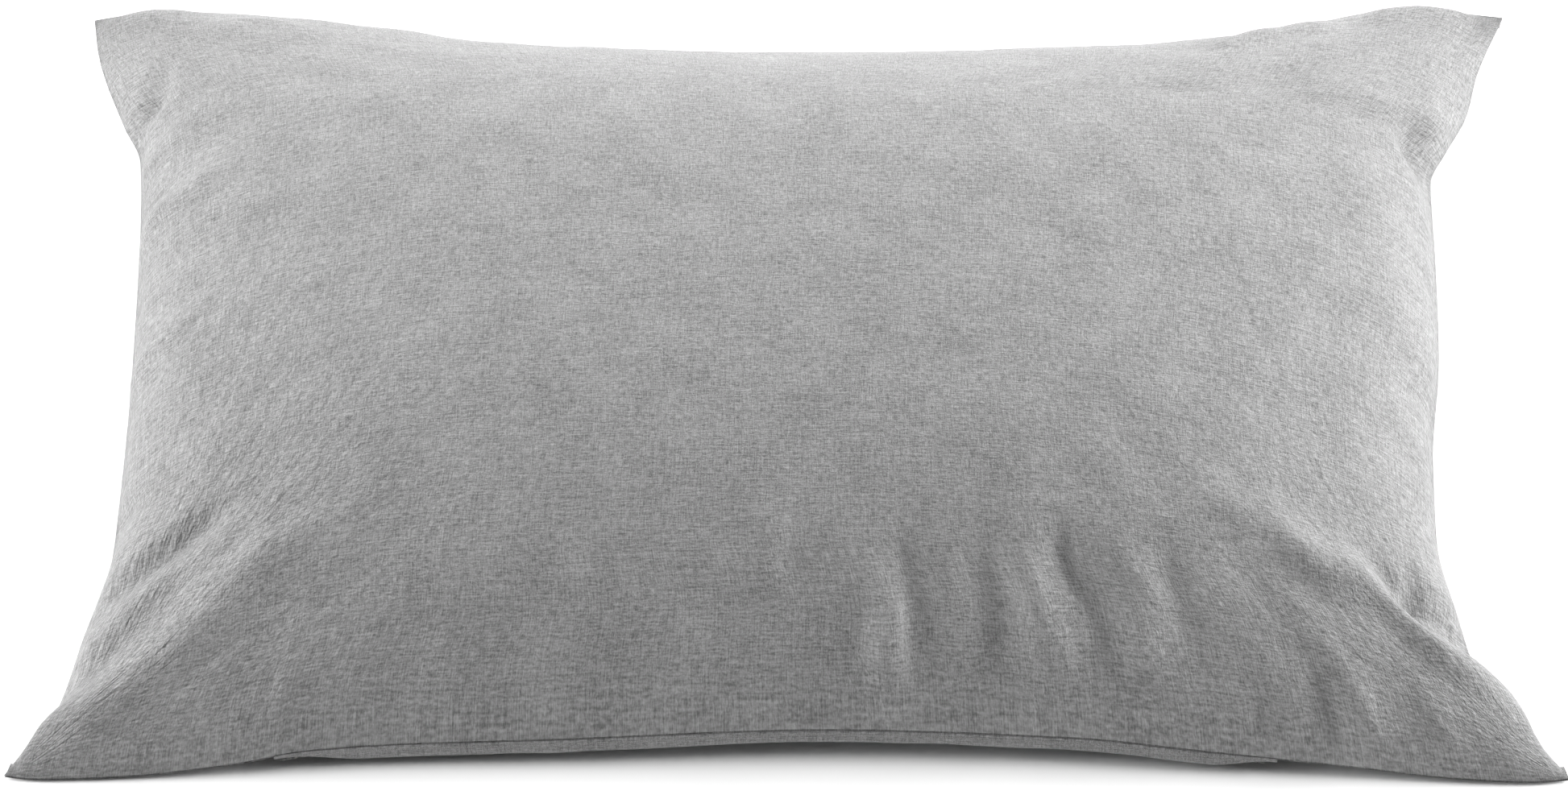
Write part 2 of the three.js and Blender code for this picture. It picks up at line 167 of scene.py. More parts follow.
def deselect_all() -> None:
    """Leave edit mode and deselect every object."""
    if bpy.context.object and bpy.context.object.mode != "OBJECT":
        bpy.ops.object.mode_set(mode="OBJECT")
    bpy.ops.object.select_all(action="DESELECT")


def make_active(piece: bpy.types.Object) -> None:
    """Select only this object and make it the active one.

    Args:
        piece: The object.
    """
    deselect_all()
    piece.select_set(True)
    bpy.context.view_layer.objects.active = piece


def points_of(piece: bpy.types.Object) -> np.ndarray:
    """Read a mesh's vertices.

    Args:
        piece: The mesh object.

    Returns:
        One row of X, Y, Z per vertex, in metres.
    """
    flat = np.empty(len(piece.data.vertices) * 3)
    piece.data.vertices.foreach_get("co", flat)
    return flat.reshape(-1, 3)


def set_points(piece: bpy.types.Object, points: np.ndarray) -> None:
    """Move a mesh's vertices to an array of X, Y, Z rows."""
    piece.data.vertices.foreach_set("co", points.astype(np.float32).ravel())
    piece.data.update()


def write_attribute(piece: bpy.types.Object, name: str, kind: str, values: np.ndarray) -> None:
    """Store one value per vertex.

    Args:
        piece: The mesh object.
        name: The attribute's name.
        kind: "FLOAT", "FLOAT2" or "FLOAT_VECTOR".
        values: One row per vertex.
    """
    layer = piece.data.attributes.get(name) or piece.data.attributes.new(name, kind, "POINT")
    field_name = "value" if kind == "FLOAT" else "vector"
    layer.data.foreach_set(field_name, values.astype(np.float32).ravel())


def read_cloth(piece: bpy.types.Object) -> np.ndarray:
    """Read where each vertex lies on the cut cloth.

    Args:
        piece: A panel that carries the cloth map.

    Returns:
        One row of X and Y per vertex, in millimetres from the cloth's middle.
    """
    flat = np.empty(len(piece.data.vertices) * 2)
    piece.data.attributes[CLOTH_MAP].data.foreach_get("vector", flat)
    return flat.reshape(-1, 2) * CLOTH_HALF


def soft_noise(places: np.ndarray, size: float, seed: int) -> np.ndarray:
    """Give smooth random values over the plane.

    Args:
        places: Rows of X and Y.
        size: How far apart the random values stand, in the same unit.
        seed: The seed of the draw.

    Returns:
        A value from -1 to 1 for each place.
    """
    count = 256
    lattice = np.random.default_rng(seed).uniform(-1, 1, (count, count))
    cell = places / size
    low = np.floor(cell).astype(int)
    share = cell - low
    share = share * share * (3 - 2 * share)
    x0, y0 = low[:, 0] % count, low[:, 1] % count
    x1, y1 = (x0 + 1) % count, (y0 + 1) % count
    front = lattice[x0, y0] * (1 - share[:, 0]) + lattice[x1, y0] * share[:, 0]
    back = lattice[x0, y1] * (1 - share[:, 0]) + lattice[x1, y1] * share[:, 0]
    return front * (1 - share[:, 1]) + back * share[:, 1]


def apply_modifier(piece: bpy.types.Object, kind: str, **settings: object) -> None:
    """Add a modifier, set it and apply it at once.

    Args:
        piece: The mesh object.
        kind: The modifier's type name.
        settings: Its settings by name.
    """
    make_active(piece)
    modifier = piece.modifiers.new(kind.lower(), kind)
    for name, value in settings.items():
        setattr(modifier, name, value)
    bpy.ops.object.modifier_apply(modifier=modifier.name)


def normals_of(piece: bpy.types.Object) -> np.ndarray:
    """Read a mesh's vertex normals.

    Args:
        piece: The mesh object.

    Returns:
        One row of X, Y, Z per vertex.
    """
    flat = np.empty(len(piece.data.vertices) * 3)
    piece.data.vertex_normals.foreach_get("vector", flat)
    return flat.reshape(-1, 3)


def flat_grid(cells: tuple[int, int], turned: bool = False) -> bpy.types.Object:
    """Lay a flat grid from -1 to 1 both ways.

    Args:
        cells: How many faces it has along X and along Y.
        turned: Whether it faces down.

    Returns:
        The grid.
    """
    deselect_all()
    bpy.ops.mesh.primitive_grid_add(x_subdivisions=cells[0], y_subdivisions=cells[1], size=2.0)
    grid = bpy.context.object
    if turned:
        bpy.ops.object.mode_set(mode="EDIT")
        bpy.ops.mesh.select_all(action="SELECT")
        bpy.ops.mesh.flip_normals()
        bpy.ops.object.mode_set(mode="OBJECT")
    return grid


def sew_together(top: bpy.types.Object, bottom: bpy.types.Object) -> None:
    """Join two panels into the first, sharing the points of their rims.

    Args:
        top: The panel that stays.
        bottom: The panel that it takes in.
    """
    make_active(top)
    bottom.select_set(True)
    bpy.ops.object.join()
    bpy.ops.object.mode_set(mode="EDIT")
    bpy.ops.mesh.select_all(action="SELECT")
    bpy.ops.mesh.remove_doubles(threshold=0.01 * MM)
    bpy.ops.object.mode_set(mode="OBJECT")


def finish_piece(
    piece: bpy.types.Object,
    name: str,
    material: bpy.types.Material,
    slot: str,
    *nodes: str,
    body: str = PILLOW_BODY,
) -> bpy.types.Object:
    """Name a piece, dress it and tie it to the frame.

    Args:
        piece: The finished object.
        name: Its name in the visual model.
        material: Its finish.
        slot: The record's material slot; not used.
        nodes: The CAD nodes that it stands for.
        body: The body that it rides on.

    Returns:
        The same object.
    """
    piece.name = name
    piece.data.name = name
    piece.data.materials.clear()
    piece.data.materials.append(material)
    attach(piece, body)
    if nodes:
        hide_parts(*nodes)
    LOG.info("%s: %d faces", name, len(piece.data.polygons))
    return piece


# ---- the filled form ----------------------------------------------------------------------
@dataclass(frozen=True)
class FilledForm:
    """The shape that the filling gives the cover, from its seam and its crown.

    Places along an edge run from -1 to 1, left to right or front to back. Each edge lists how far
    filling draws it in from the corners' rectangle, and the height of its seam, in millimetres.
    An inner form lies inset millimetres inside, its seam lift higher, and its front edge tuck
    further back, which clears the zip.
    """

    corner_x: float = 363.0
    front_y: float = -240.0
    back_y: float = 240.0
    top: float = 147.0
    hem: float = 40.0
    inset: float = 0.0
    lift: float = 0.0
    tuck: float = 0.0
    front_pull: tuple[tuple[float, float], ...] = (
        (-1, 3), (-0.96, 1), (-0.71, 5), (-0.64, 8), (-0.5, 11), (-0.3, 12),
        (0.05, 14.5), (0.37, 12), (0.52, 8), (0.7, 4), (0.95, -1), (1, 1),
    )
    front_seam: tuple[tuple[float, float], ...] = (
        (-1, 2), (-0.85, 3), (-0.71, 8), (-0.6, 14), (-0.3, 18), (0.05, 22),
        (0.37, 19), (0.52, 15), (0.7, 9), (0.85, 4), (1, 2),
    )
    back_pull: tuple[tuple[float, float], ...] = (
        (-1, 0), (-0.8, 3), (-0.6, 12), (-0.4, 23), (0, 30), (0.4, 26), (0.66, 15), (0.85, 4), (1, 0),
    )
    back_seam: tuple[tuple[float, float], ...] = (
        (-1, 28), (-0.9, 36), (-0.67, 35), (-0.4, 31), (0, 30), (0.4, 31), (0.7, 33), (0.87, 38), (1, 30),
    )
    left_pull: tuple[tuple[float, float], ...] = (
        (-1, -1), (-0.97, 4), (-0.92, 13), (-0.88, 21), (-0.72, 32), (-0.52, 44), (-0.17, 46),
        (0.2, 44), (0.52, 39), (0.63, 29), (0.89, 10), (1, 6),
    )
    right_pull: tuple[tuple[float, float], ...] = (
        (-1, -2), (-0.95, 8), (-0.85, 25), (-0.77, 40), (-0.67, 46), (-0.5, 54), (-0.32, 53),
        (-0.06, 46), (0.2, 43), (0.45, 41), (0.54, 32), (0.66, 19), (0.81, 10), (1, -7),
    )
    side_seam: tuple[tuple[float, float], ...] = (
        (-1, 2), (-0.8, 16), (-0.4, 36), (0, 44), (0.5, 42), (0.8, 34), (1, 29),
    )
    # The crown's powers along X, and along Y at the front and at the back.
    roundness_x: float = 3.0
    roundness_y: tuple[float, float] = (2.4, 2.0)
    fullness_x: float = 0.55
    fullness_y: tuple[float, float] = (0.58, 0.9)
    # The underside's share of the seam's height, from the seam in to where it lies flat.
    underside: tuple[tuple[float, float], ...] = ((0, 1), (0.28, 0.9), (1, 0))
    corner_lift: float = 1.3
    corner_power: int = 8

    def plan(self, u: np.ndarray, v: np.ndarray) -> tuple[np.ndarray, np.ndarray]:
        """Place points of the cut cloth in plan.

        Args:
            u: Places along the long side, -1 to 1.
            v: Places along the short side, -1 to 1.

        Returns:
            Their X and Y in millimetres.
        """
        left = -self.corner_x + smooth_curve(self.left_pull, v) + self.inset
        right = self.corner_x - smooth_curve(self.right_pull, v) - self.inset
        front = self.front_y + smooth_curve(self.front_pull, u) + self.inset + self.tuck * (1 - u**4)
        back = self.back_y - smooth_curve(self.back_pull, u) - self.inset
        x = left + (right - left) * (u + 1) / 2
        y = front + (back - front) * (v + 1) / 2
        return x, y

    def seam(self, u: np.ndarray, v: np.ndarray) -> np.ndarray:
        """Give the height of the seam, spread smoothly over the form.

        Args:
            u: Places along the long side, -1 to 1.
            v: Places along the short side, -1 to 1.

        Returns:
            The height at each place, in millimetres.
        """
        along_v = (v + 1) / 2
        along_front = 1 - along_v
        front, back = smooth_curve(self.front_seam, u), smooth_curve(self.back_seam, u)
        side = smooth_curve(self.side_seam, v)
        straight = self.side_seam[0][1] * along_front + self.side_seam[-1][1] * along_v
        height = front * along_front + back * along_v + (side - straight) * np.abs(u) ** 2
        # Near its front corners an inner form clears the cover's underside by a little more.
        corner = np.abs(u) ** self.corner_power * along_front**self.corner_power
        return height + self.lift * (1 + self.corner_lift * corner)

    def surface(self, side: Side, u: np.ndarray, v: np.ndarray) -> np.ndarray:
        """Shape one panel.

        Args:
            side: Which panel.
            u: Places along the long side, -1 to 1.
            v: Places along the short side, -1 to 1.

        Returns:
            Rows of X, Y, Z in metres.
        """
        x, y = self.plan(u, v)
        seam = self.seam(u, v)
        if side is Side.TOP:
            backwards = smooth_step(-0.45, 0.75, v)
            round_y = self.roundness_y[0] + (self.roundness_y[1] - self.roundness_y[0]) * backwards
            full_y = self.fullness_y[0] + (self.fullness_y[1] - self.fullness_y[0]) * backwards
            across = np.clip(1 - np.abs(u) ** self.roundness_x, 0, 1) ** self.fullness_x
            crown = across * np.clip(1 - np.abs(v) ** round_y, 0, 1) ** full_y
            z = seam + (self.top - self.inset - seam) * crown
        else:
            reach_x = (1 - np.abs(u)) * self.corner_x
            reach_y = (1 - np.abs(v)) * self.back_y
            inwards = np.clip(np.minimum(reach_x, reach_y) / self.hem, 0, 1)
            z = seam * np.interp(inwards, *zip(*self.underside)) + self.inset * inwards
        return np.stack([x, y, z], axis=1) * MM

    def on_seam(self, u: np.ndarray, v: np.ndarray) -> np.ndarray:
        """Give places on the seam as rows of X, Y, Z in metres."""
        x, y = self.plan(u, v)
        return np.column_stack([x, y, self.seam(u, v)]) * MM

    def front_rim(self, count: int) -> np.ndarray:
        """Follow the front seam from left to right, in metres."""
        return self.on_seam(np.linspace(-1.0, 1.0, count), np.full(count, -1.0))

    def whole_rim(self, count: int) -> np.ndarray:
        """Follow the whole seam once round.

        Args:
            count: How many points each side has.

        Returns:
            Rows of X, Y, Z in metres.
        """
        run = np.linspace(-1.0, 1.0, count, endpoint=False)
        ones = np.ones(count)
        return self.on_seam(
            np.concatenate([run, ones, -run, -ones]), np.concatenate([-ones, run, ones, -run])
        )


# ---- folds --------------------------------------------------------------------------------
@dataclass(frozen=True)
class Fold:
    """A soft fold or crease in the top panel, drawn on the cut cloth.

    Its path runs through places in millimetres from the cloth's middle, and its crown stands
    height millimetres proud, or sinks where height is negative, over about twice its width. It
    fades over that share of its length at each end, to the floor's share of its height.
    """

    path: tuple[tuple[float, float], ...]
    height: float
    width: float
    fade: float = 0.35
    floor: float = 0.15

    def lift(self, cloth: np.ndarray) -> np.ndarray:
        """Give the fold's lift at places on the cut cloth.

        Args:
            cloth: Rows of X and Y in millimetres.

        Returns:
            The lift in millimetres.
        """
        corners = np.array(self.path, float)
        spans = np.linalg.norm(np.diff(corners, axis=0), axis=1)
        starts = np.concatenate([[0], np.cumsum(spans)])
        nearest = np.full(len(cloth), np.inf)
        along = np.zeros(len(cloth))
        for first, last, start, span in zip(corners[:-1], corners[1:], starts, spans):
            way = (last - first) / span
            run = np.clip((cloth - first) @ way, 0, span)
            gap = np.linalg.norm(cloth - first - run[:, None] * way, axis=1)
            closer = gap < nearest
            nearest = np.where(closer, gap, nearest)
            along = np.where(closer, (start + run) / starts[-1], along)
        ends = smooth_step(0, self.fade, along) * smooth_step(0, self.fade, 1 - along)
        share = self.floor + (1 - self.floor) * ends
        return self.height * np.exp(-((nearest / self.width) ** 2)) * share


TOP_FOLDS: tuple[Fold, ...] = (
    # corner ridges, where the front slope meets a side
    Fold(((-400, -236), (-368, -229), (-342, -225), (-305, -208), (-272, -192), (-215, -165)), 8.0, 12.0),
    Fold(((400, -240), (352, -212), (332, -200), (315, -190), (283, -178), (225, -155)), 8.0, 12.0),
    Fold(((405, -188), (365, -190), (338, -186), (310, -172)), -7.5, 9.0),
    Fold(((-400, -205), (-360, -208), (-320, -190)), -3.5, 9.0),
    Fold(((400, 262), (330, 240), (262, 212), (225, 160), (205, 115)), 6.0, 15.0),
    Fold(((-400, 262), (-330, 236), (-270, 200), (-230, 160)), 4.0, 16.0),
    # gathers above the zip
    Fold(((46, -200), (48, -225), (51, -254)), 3.8, 8.0),
    Fold(((71, -184), (67, -210), (62, -246)), -2.9, 8.5),
    Fold(((88, -190), (88, -215), (86, -245)), 2.0, 8.0),
    Fold(((112, -182), (110, -210), (107, -246)), -2.7, 8.5),
    Fold(((126, -196), (131, -225), (136, -254)), 3.6, 9.0),
    Fold(((146, -178), (152, -205), (162, -242)), -4.0, 9.5),
    Fold(((188, -174), (181, -205), (174, -248)), 3.2, 9.5),
    Fold(((205, -185), (206, -210), (200, -245)), -2.2, 9.0),
    Fold(((-172, -165), (-170, -190), (-168, -222)), 1.4, 9.0),
    Fold(((-142, -165), (-140, -190), (-140, -222)), 1.6, 9.0),
    Fold(((-4, -170), (-3, -190), (-8, -222)), 1.8, 9.0),
    Fold(((17, -170), (15, -190), (8, -222)), -1.6, 8.0),
    Fold(((258, -222), (260, -238), (264, -256)), -3.6, 8.0),
    Fold(((276, -222), (279, -240), (284, -256)), 3.4, 8.0),
    Fold(((312, -228), (318, -242), (330, -256)), 2.4, 8.0),
    # drag lines from the short sides
    Fold(((-400, 44), (-370, 52), (-340, 61), (-305, 72)), 3.6, 8.0),
    Fold(((-400, -48), (-362, -37), (-322, -26)), 3.4, 8.0),
    Fold(((-400, 100), (-366, 108), (-325, 122)), 2.6, 8.0),
    Fold(((-385, -178), (-345, -170), (-285, -152)), -6.0, 8.0),
    Fold(((-400, -128), (-372, -122), (-345, -130)), -5.0, 6.0),
    Fold(((-400, 142), (-372, 148), (-345, 160)), -5.0, 7.0),
    Fold(((-372, 138), (-352, 165), (-336, 196)), -3.0, 7.0),
    Fold(((400, 90), (374, 98), (360, 118), (352, 138)), -8.0, 8.0),
    Fold(((395, 150), (368, 140), (340, 128)), 3.0, 9.0),
    Fold(((349, -164), (347, -180), (343, -198)), -3.6, 4.5),
    Fold(((364, 192), (362, 222), (358, 262)), -3.0, 6.0),
    Fold(((400, 20), (372, 24), (345, 20)), -2.6, 8.0),
    Fold(((400, -62), (370, -58), (342, -64)), -2.4, 8.0),
    # puckers at the zip's ends
    Fold(((-247, -258), (-246, -246), (-246, -224)), 2.4, 4.5),
    Fold(((228, -258), (229, -246), (230, -232)), -3.0, 5.0),
)


# ---- the zip's frame ----------------------------------------------------------------------
@dataclass(frozen=True)
class ZipFrame:
    """Where the zip lies: X along the chain, Y up its slope, Z out of the cover, from its middle."""

    origin: Vector
    slope: float
    hinge_z: float = 3.2

    @property
    def up(self) -> np.ndarray:
        """The way up the zip's slope."""
        return np.array([0.0, -math.cos(self.slope), math.sin(self.slope)])

    @property
    def out(self) -> np.ndarray:
        """The way out of the cover, square to the zip."""
        return np.array([0.0, -math.sin(self.slope), -math.cos(self.slope)])

    @classmethod
    def from_record(cls, record: dict) -> "ZipFrame":
        """Find the zip from the pull's hinge, which the record gives.

        Args:
            record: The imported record.

        Returns:
            The zip's frame.
        """
        hinge = next(j for j in record["behaviour"]["joints"] if j["name"] == "pull_swing")
        slope = math.atan2(-hinge["axis"][2], hinge["axis"][1])
        out = Vector((0.0, -math.sin(slope), -math.cos(slope)))
        origin = Vector(hinge["pos_m"]) - out * cls.hinge_z * MM
        origin.x = 0.0
        return cls(origin, slope)

    def place(self, local: np.ndarray) -> np.ndarray:
        """Turn local places to the model's.

        Args:
            local: Rows of local X, Y, Z in millimetres.

        Returns:
            Rows of X, Y, Z in metres.
        """
        along = np.array([1.0, 0.0, 0.0])
        rows = local[:, :1] * along + local[:, 1:2] * self.up + local[:, 2:] * self.out
        return np.array(self.origin) + rows * MM

    def read(self, points: np.ndarray) -> tuple[np.ndarray, np.ndarray, np.ndarray]:
        """Turn rows in metres to local X, Y and Z in millimetres."""
        offset = (points - np.array(self.origin)) / MM
        return offset[:, 0], offset @ self.up, offset @ self.out


# ---- threads, cords and small copies ------------------------------------------------------
def corded(path: np.ndarray, radius: float, closed: bool = False, sides: int = 1) -> bpy.types.Object:
    """Run a round cord or thread through points.

    Args:
        path: Rows of X, Y, Z in metres.
        radius: The cord's radius in metres.
        closed: Whether it joins its own start.
        sides: How round it is; 0 gives four sides and 1 gives six.

    Returns:
        The cord as a mesh object.
    """
    deselect_all()
    curve = bpy.data.curves.new("cord", "CURVE")
    curve.dimensions = "3D"
    curve.bevel_depth = radius
    curve.bevel_resolution = sides
    curve.use_fill_caps = not closed
    spline = curve.splines.new("POLY")
    spline.points.add(len(path) - 1)
    rows = np.column_stack([path, np.ones(len(path))])
    spline.points.foreach_set("co", rows.astype(np.float32).ravel())
    spline.use_cyclic_u = closed
    cord = bpy.data.objects.new("cord", curve)
    bpy.context.scene.collection.objects.link(cord)
    make_active(cord)
    bpy.ops.object.convert(target="MESH")
    bpy.ops.object.shade_smooth()
    return bpy.context.object


def walk(path: np.ndarray, at: np.ndarray) -> np.ndarray:
    """Find points along a path, at distances in the path's own unit."""
    reach = np.concatenate([[0], np.cumsum(np.linalg.norm(np.diff(path, axis=0), axis=1))])
    return np.column_stack([np.interp(at, reach, path[:, axis]) for axis in range(3)])


@dataclass(frozen=True)
class StitchRow:
    """A row of lockstitch: short plump stitches that dip into the cloth between them."""

    stitch: float = 2.6
    pitch: float = 3.0
    thread: float = 0.3
    flatness: float = 0.75

    def along(self, path: np.ndarray) -> bpy.types.Object:
        """Sew the row along a path.

        Args:
            path: Rows of X, Y, Z in metres.

        Returns:
            The stitches as one mesh object.
        """
        length = np.linalg.norm(np.diff(path, axis=0), axis=1).sum()
        count = max(1, int(length / (self.pitch * MM)))
        deselect_all()
        bpy.ops.mesh.primitive_uv_sphere_add(segments=6, ring_count=4, radius=1.0)
        row = bpy.context.object
        points = points_of(row)
        half = np.array([self.stitch / 2, self.thread, self.thread * self.flatness]) * MM
        set_points(row, points[:, [2, 0, 1]] * half)
        apply_modifier(
            row, "ARRAY", count=count, use_relative_offset=False, use_constant_offset=True,
            constant_offset_displace=(self.pitch * MM, 0.0, 0.0),
        )
        local = points_of(row)
        spot = local[:, 0] + self.stitch / 2 * MM
        ahead = walk(path, spot + 0.5 * MM) - walk(path, spot - 0.5 * MM)
        ahead /= np.linalg.norm(ahead, axis=1, keepdims=True) + 1e-12
        side = np.cross([0.0, 0.0, 1.0], ahead)
        side /= np.linalg.norm(side, axis=1, keepdims=True) + 1e-12
        lift = np.cross(ahead, side)
        set_points(row, walk(path, spot) + side * local[:, 1:2] + lift * local[:, 2:])
        make_active(row)
        bpy.ops.object.mode_set(mode="EDIT")
        bpy.ops.mesh.select_all(action="SELECT")
        bpy.ops.mesh.normals_make_consistent(inside=False)
        bpy.ops.object.mode_set(mode="OBJECT")
        bpy.ops.object.shade_smooth()
        return row


def straight_along(node: str, count: int) -> np.ndarray:
    """Run points along the middle of a CAD node's box, in metres.

    Args:
        node: A CAD node's name.
        count: How many points.

    Returns:
        Rows of X, Y, Z in metres.
    """
    low, high = (np.array(corner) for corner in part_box(node))
    middle = (low + high) / 2
    return np.linspace((low[0], *middle[1:]), (high[0], *middle[1:]), count)


def softened_copy(node: str, width: float) -> bpy.types.Object:
    """Copy a CAD node and round its edges.

    Args:
        node: The CAD node.
        width: How wide each rounded edge is, in millimetres.

    Returns:
        The rounded copy.
    """
    source = bpy.data.objects[node]
    copy = bpy.data.objects.new(node + "_finished", source.data.copy())
    bpy.context.scene.collection.objects.link(copy)
    make_active(copy)
    bpy.ops.object.mode_set(mode="EDIT")
    bpy.ops.mesh.select_all(action="SELECT")
    bpy.ops.mesh.remove_doubles(threshold=0.002 * MM)
    bpy.ops.mesh.dissolve_limited(angle_limit=math.radians(1.0))
    bpy.ops.object.mode_set(mode="OBJECT")
    apply_modifier(
        copy, "BEVEL", width=width * MM, segments=2, limit_method="ANGLE",
        angle_limit=math.radians(35.0), harden_normals=False,
    )
    bpy.ops.object.shade_smooth_by_angle(angle=math.radians(40.0))
    return copy


# ---- cover --------------------------------------------------------------------------------
@dataclass
class Cover:
    """The washed chambray cover: two panels cut to one size and sewn along their rim."""

    zip_frame: ZipFrame
    form: FilledForm = field(default_factory=FilledForm)
    cells: tuple[int, int] = (150, 100)
    folds: tuple[Fold, ...] = ()
    # The zip's window: its left and right ends, and half its height.
    window: tuple[float, float, float] = (-232.5, 222.5, 5.0)
    frames: int = 18
    pressure: float = 1.2
    move_cap: float = 9.0
    fold_sway: float = 4.5
    fold_unevenness: float = 0.25
    allowance: float = 7.0
    groove: float = 0.9
    # Where the cloth is slack: middle X and Y, reach along X and Y, and how slack it is.
    slack_spots: tuple[tuple[float, ...], ...] = (
        (110, -215, 150, 60, 0.9), (-330, 0, 60, 200, 0.8), (-300, -200, 90, 70, 1.0),
        (300, -200, 100, 70, 0.9), (335, 60, 50, 150, 0.6), (-320, 215, 90, 50, 0.8),
        (320, 205, 100, 60, 0.8), (-80, -225, 120, 40, 0.5),
    )
    # Where fine gathers fan out: a corner's X and Y, their reach and their strength.
    gather_corners: tuple[tuple[float, ...], ...] = (
        (-375, -250, 260, 1.0), (375, -250, 190, 0.5), (-375, 250, 170, 0.55), (375, 250, 170, 0.5),
    )

    def panel(self, side: Side) -> bpy.types.Object:
        """Shape a cut panel over the form, with its place on the cut cloth as an attribute.

        Args:
            side: Which panel.

        Returns:
            The panel, facing out.
        """
        panel = flat_grid(self.cells, turned=side is Side.BOTTOM)
        flat = points_of(panel)[:, :2]
        shaped = self.form.surface(side, flat[:, 0], flat[:, 1])
        if side is Side.BOTTOM:
            shaped = self.meet_zip(shaped)
        set_points(panel, shaped)
        write_attribute(panel, CLOTH_MAP, "FLOAT2", flat)
        if side is Side.TOP:
            self.fold(panel, flat * CLOTH_HALF)
        return panel

    def meet_zip(self, points: np.ndarray) -> np.ndarray:
        """Bring the bottom panel to the zip's flat tapes round the window.

        Args:
            points: Rows of X, Y, Z in metres.

        Returns:
            The same rows, with those near the zip moved onto its plane.
        """
        across, along = (13.0, 7.15), (22.0, 4.0)
        local_x, local_y, local_z = self.zip_frame.read(points)
        left, right, _ = self.window
        past = np.maximum(np.maximum(left - local_x, 0), local_x - right)
        near = smooth_step(*across, np.abs(local_y)) * smooth_step(*along, past)
        return points - (local_z * near)[:, None] * self.zip_frame.out * MM

    def fold(self, panel: bpy.types.Object, cloth: np.ndarray) -> None:
        """Raise the folds along the panel's normals.

        Args:
            panel: The panel.
            cloth: Each vertex's place on the cut cloth, in millimetres.
        """
        sway = np.column_stack([soft_noise(cloth, 26.0, 7), soft_noise(cloth, 26.0, 8)])
        bent = cloth + sway * self.fold_sway
        lift = sum((fold.lift(bent) for fold in self.folds), np.zeros(len(cloth)))
        lift *= 1 + self.fold_unevenness * soft_noise(cloth, 20.0, 9)
        reach = np.minimum(CLOTH_HALF[0] - np.abs(cloth[:, 0]), CLOTH_HALF[1] - np.abs(cloth[:, 1]))
        lift *= smooth_step(0, 6, reach)
        set_points(panel, points_of(panel) + normals_of(panel) * lift[:, None] * MM)

    def sewn(self) -> bpy.types.Object:
        """Join the two panels along their rim into one closed cover.

        Returns:
            The sewn cover.
        """
        top, bottom = self.panel(Side.TOP), self.panel(Side.BOTTOM)
        for panel, name in ((top, "upper"), (bottom, "lower")):
            panel.data.materials.append(bpy.data.materials.new(name))
        sew_together(top, bottom)
        return top

    def slack(self, cloth: np.ndarray) -> np.ndarray:
        """Say where the cloth has spare length to gather.

        Args:
            cloth: Rows of X and Y on the cut cloth, in millimetres.

        Returns:
            0 where it is drawn tight, to 1 where it is slackest.
        """
        most = np.zeros(len(cloth))
        for middle_x, middle_y, reach_x, reach_y, weight in self.slack_spots:
            away_x, away_y = (cloth[:, 0] - middle_x) / reach_x, (cloth[:, 1] - middle_y) / reach_y
            most = np.maximum(most, weight * np.exp(-(away_x**2) - away_y**2))
        return most

    def settle(self, cover: bpy.types.Object) -> None:
        """Let the filling press the cloth out, held at its seam, its zip and the bed.

        Args:
            cover: The sewn cover.
        """
        start = points_of(cover)
        cloth = read_cloth(cover)
        rim = np.maximum(np.abs(cloth[:, 0]) / CLOTH_HALF[0], np.abs(cloth[:, 1]) / CLOTH_HALF[1])
        normals = normals_of(cover)
        below = (normals[:, 2] < 0) | (start[:, 2] < 2 * MM)
        free, by_rim, rim_starts = 0.01, 0.5, 0.999
        hold = np.where(below, 1.0, free + by_rim * smooth_step(0.975, rim_starts, rim))
        hold = np.where(rim > rim_starts, 1.0, hold)
        self.weigh(cover, "hold", hold)
        self.weigh(cover, "slack", self.slack(cloth))
        make_active(cover)
        modifier = cover.modifiers.new("cloth", "CLOTH")
        settings = {
            "quality": 6, "mass": 0.25, "tension_stiffness": 40.0, "compression_stiffness": 25.0,
            "shear_stiffness": 12.0, "bending_stiffness": 0.35, "air_damping": 4.0,
            "vertex_group_mass": "hold", "pin_stiffness": 1.0, "vertex_group_shrink": "slack",
            "shrink_min": 0.0, "shrink_max": -0.045, "use_pressure": True,
            "uniform_pressure_force": self.pressure,
        }
        for name, value in settings.items():
            setattr(modifier.settings, name, value)
        modifier.settings.effector_weights.gravity = 0.0
        modifier.collision_settings.use_collision = False
        modifier.point_cache.frame_start = 1
        modifier.point_cache.frame_end = self.frames
        scene = bpy.context.scene
        scene.frame_start, scene.frame_end = 1, self.frames
        for frame in range(1, self.frames + 1):
            scene.frame_set(frame)
        bpy.ops.object.modifier_apply(modifier=modifier.name)
        scene.frame_set(1)
        self.cap(cover, start)

    @staticmethod
    def weigh(cover: bpy.types.Object, name: str, weights: np.ndarray) -> None:
        """Make a vertex group.

        Args:
            cover: The sewn cover.
            name: The group's name.
            weights: One weight per vertex, from 0 to 1.
        """
        group = cover.vertex_groups.new(name=name)
        fineness = 50
        steps = np.round(weights * fineness) / fineness
        for step in np.unique(steps):
            group.add(np.flatnonzero(steps == step).tolist(), float(step), "REPLACE")

    def cap(self, cover: bpy.types.Object, start: np.ndarray) -> None:
        """Limit how far any point has moved, and keep the cloth on the bed's face.

        Args:
            cover: The cover after the simulation.
            start: Where its points began, as rows of X, Y, Z in metres.
        """
        moved = points_of(cover) - start
        span = np.linalg.norm(moved, axis=1, keepdims=True)
        moved *= np.minimum(1.0, self.move_cap * MM / np.maximum(span, 1e-9))
        settled = start + moved
        settled[:, 2] = np.maximum(settled[:, 2], 0.0)
        set_points(cover, settled)
        cover.vertex_groups.clear()
        LOG.info("cloth settled, most movement %.1f mm", span.max() / MM)

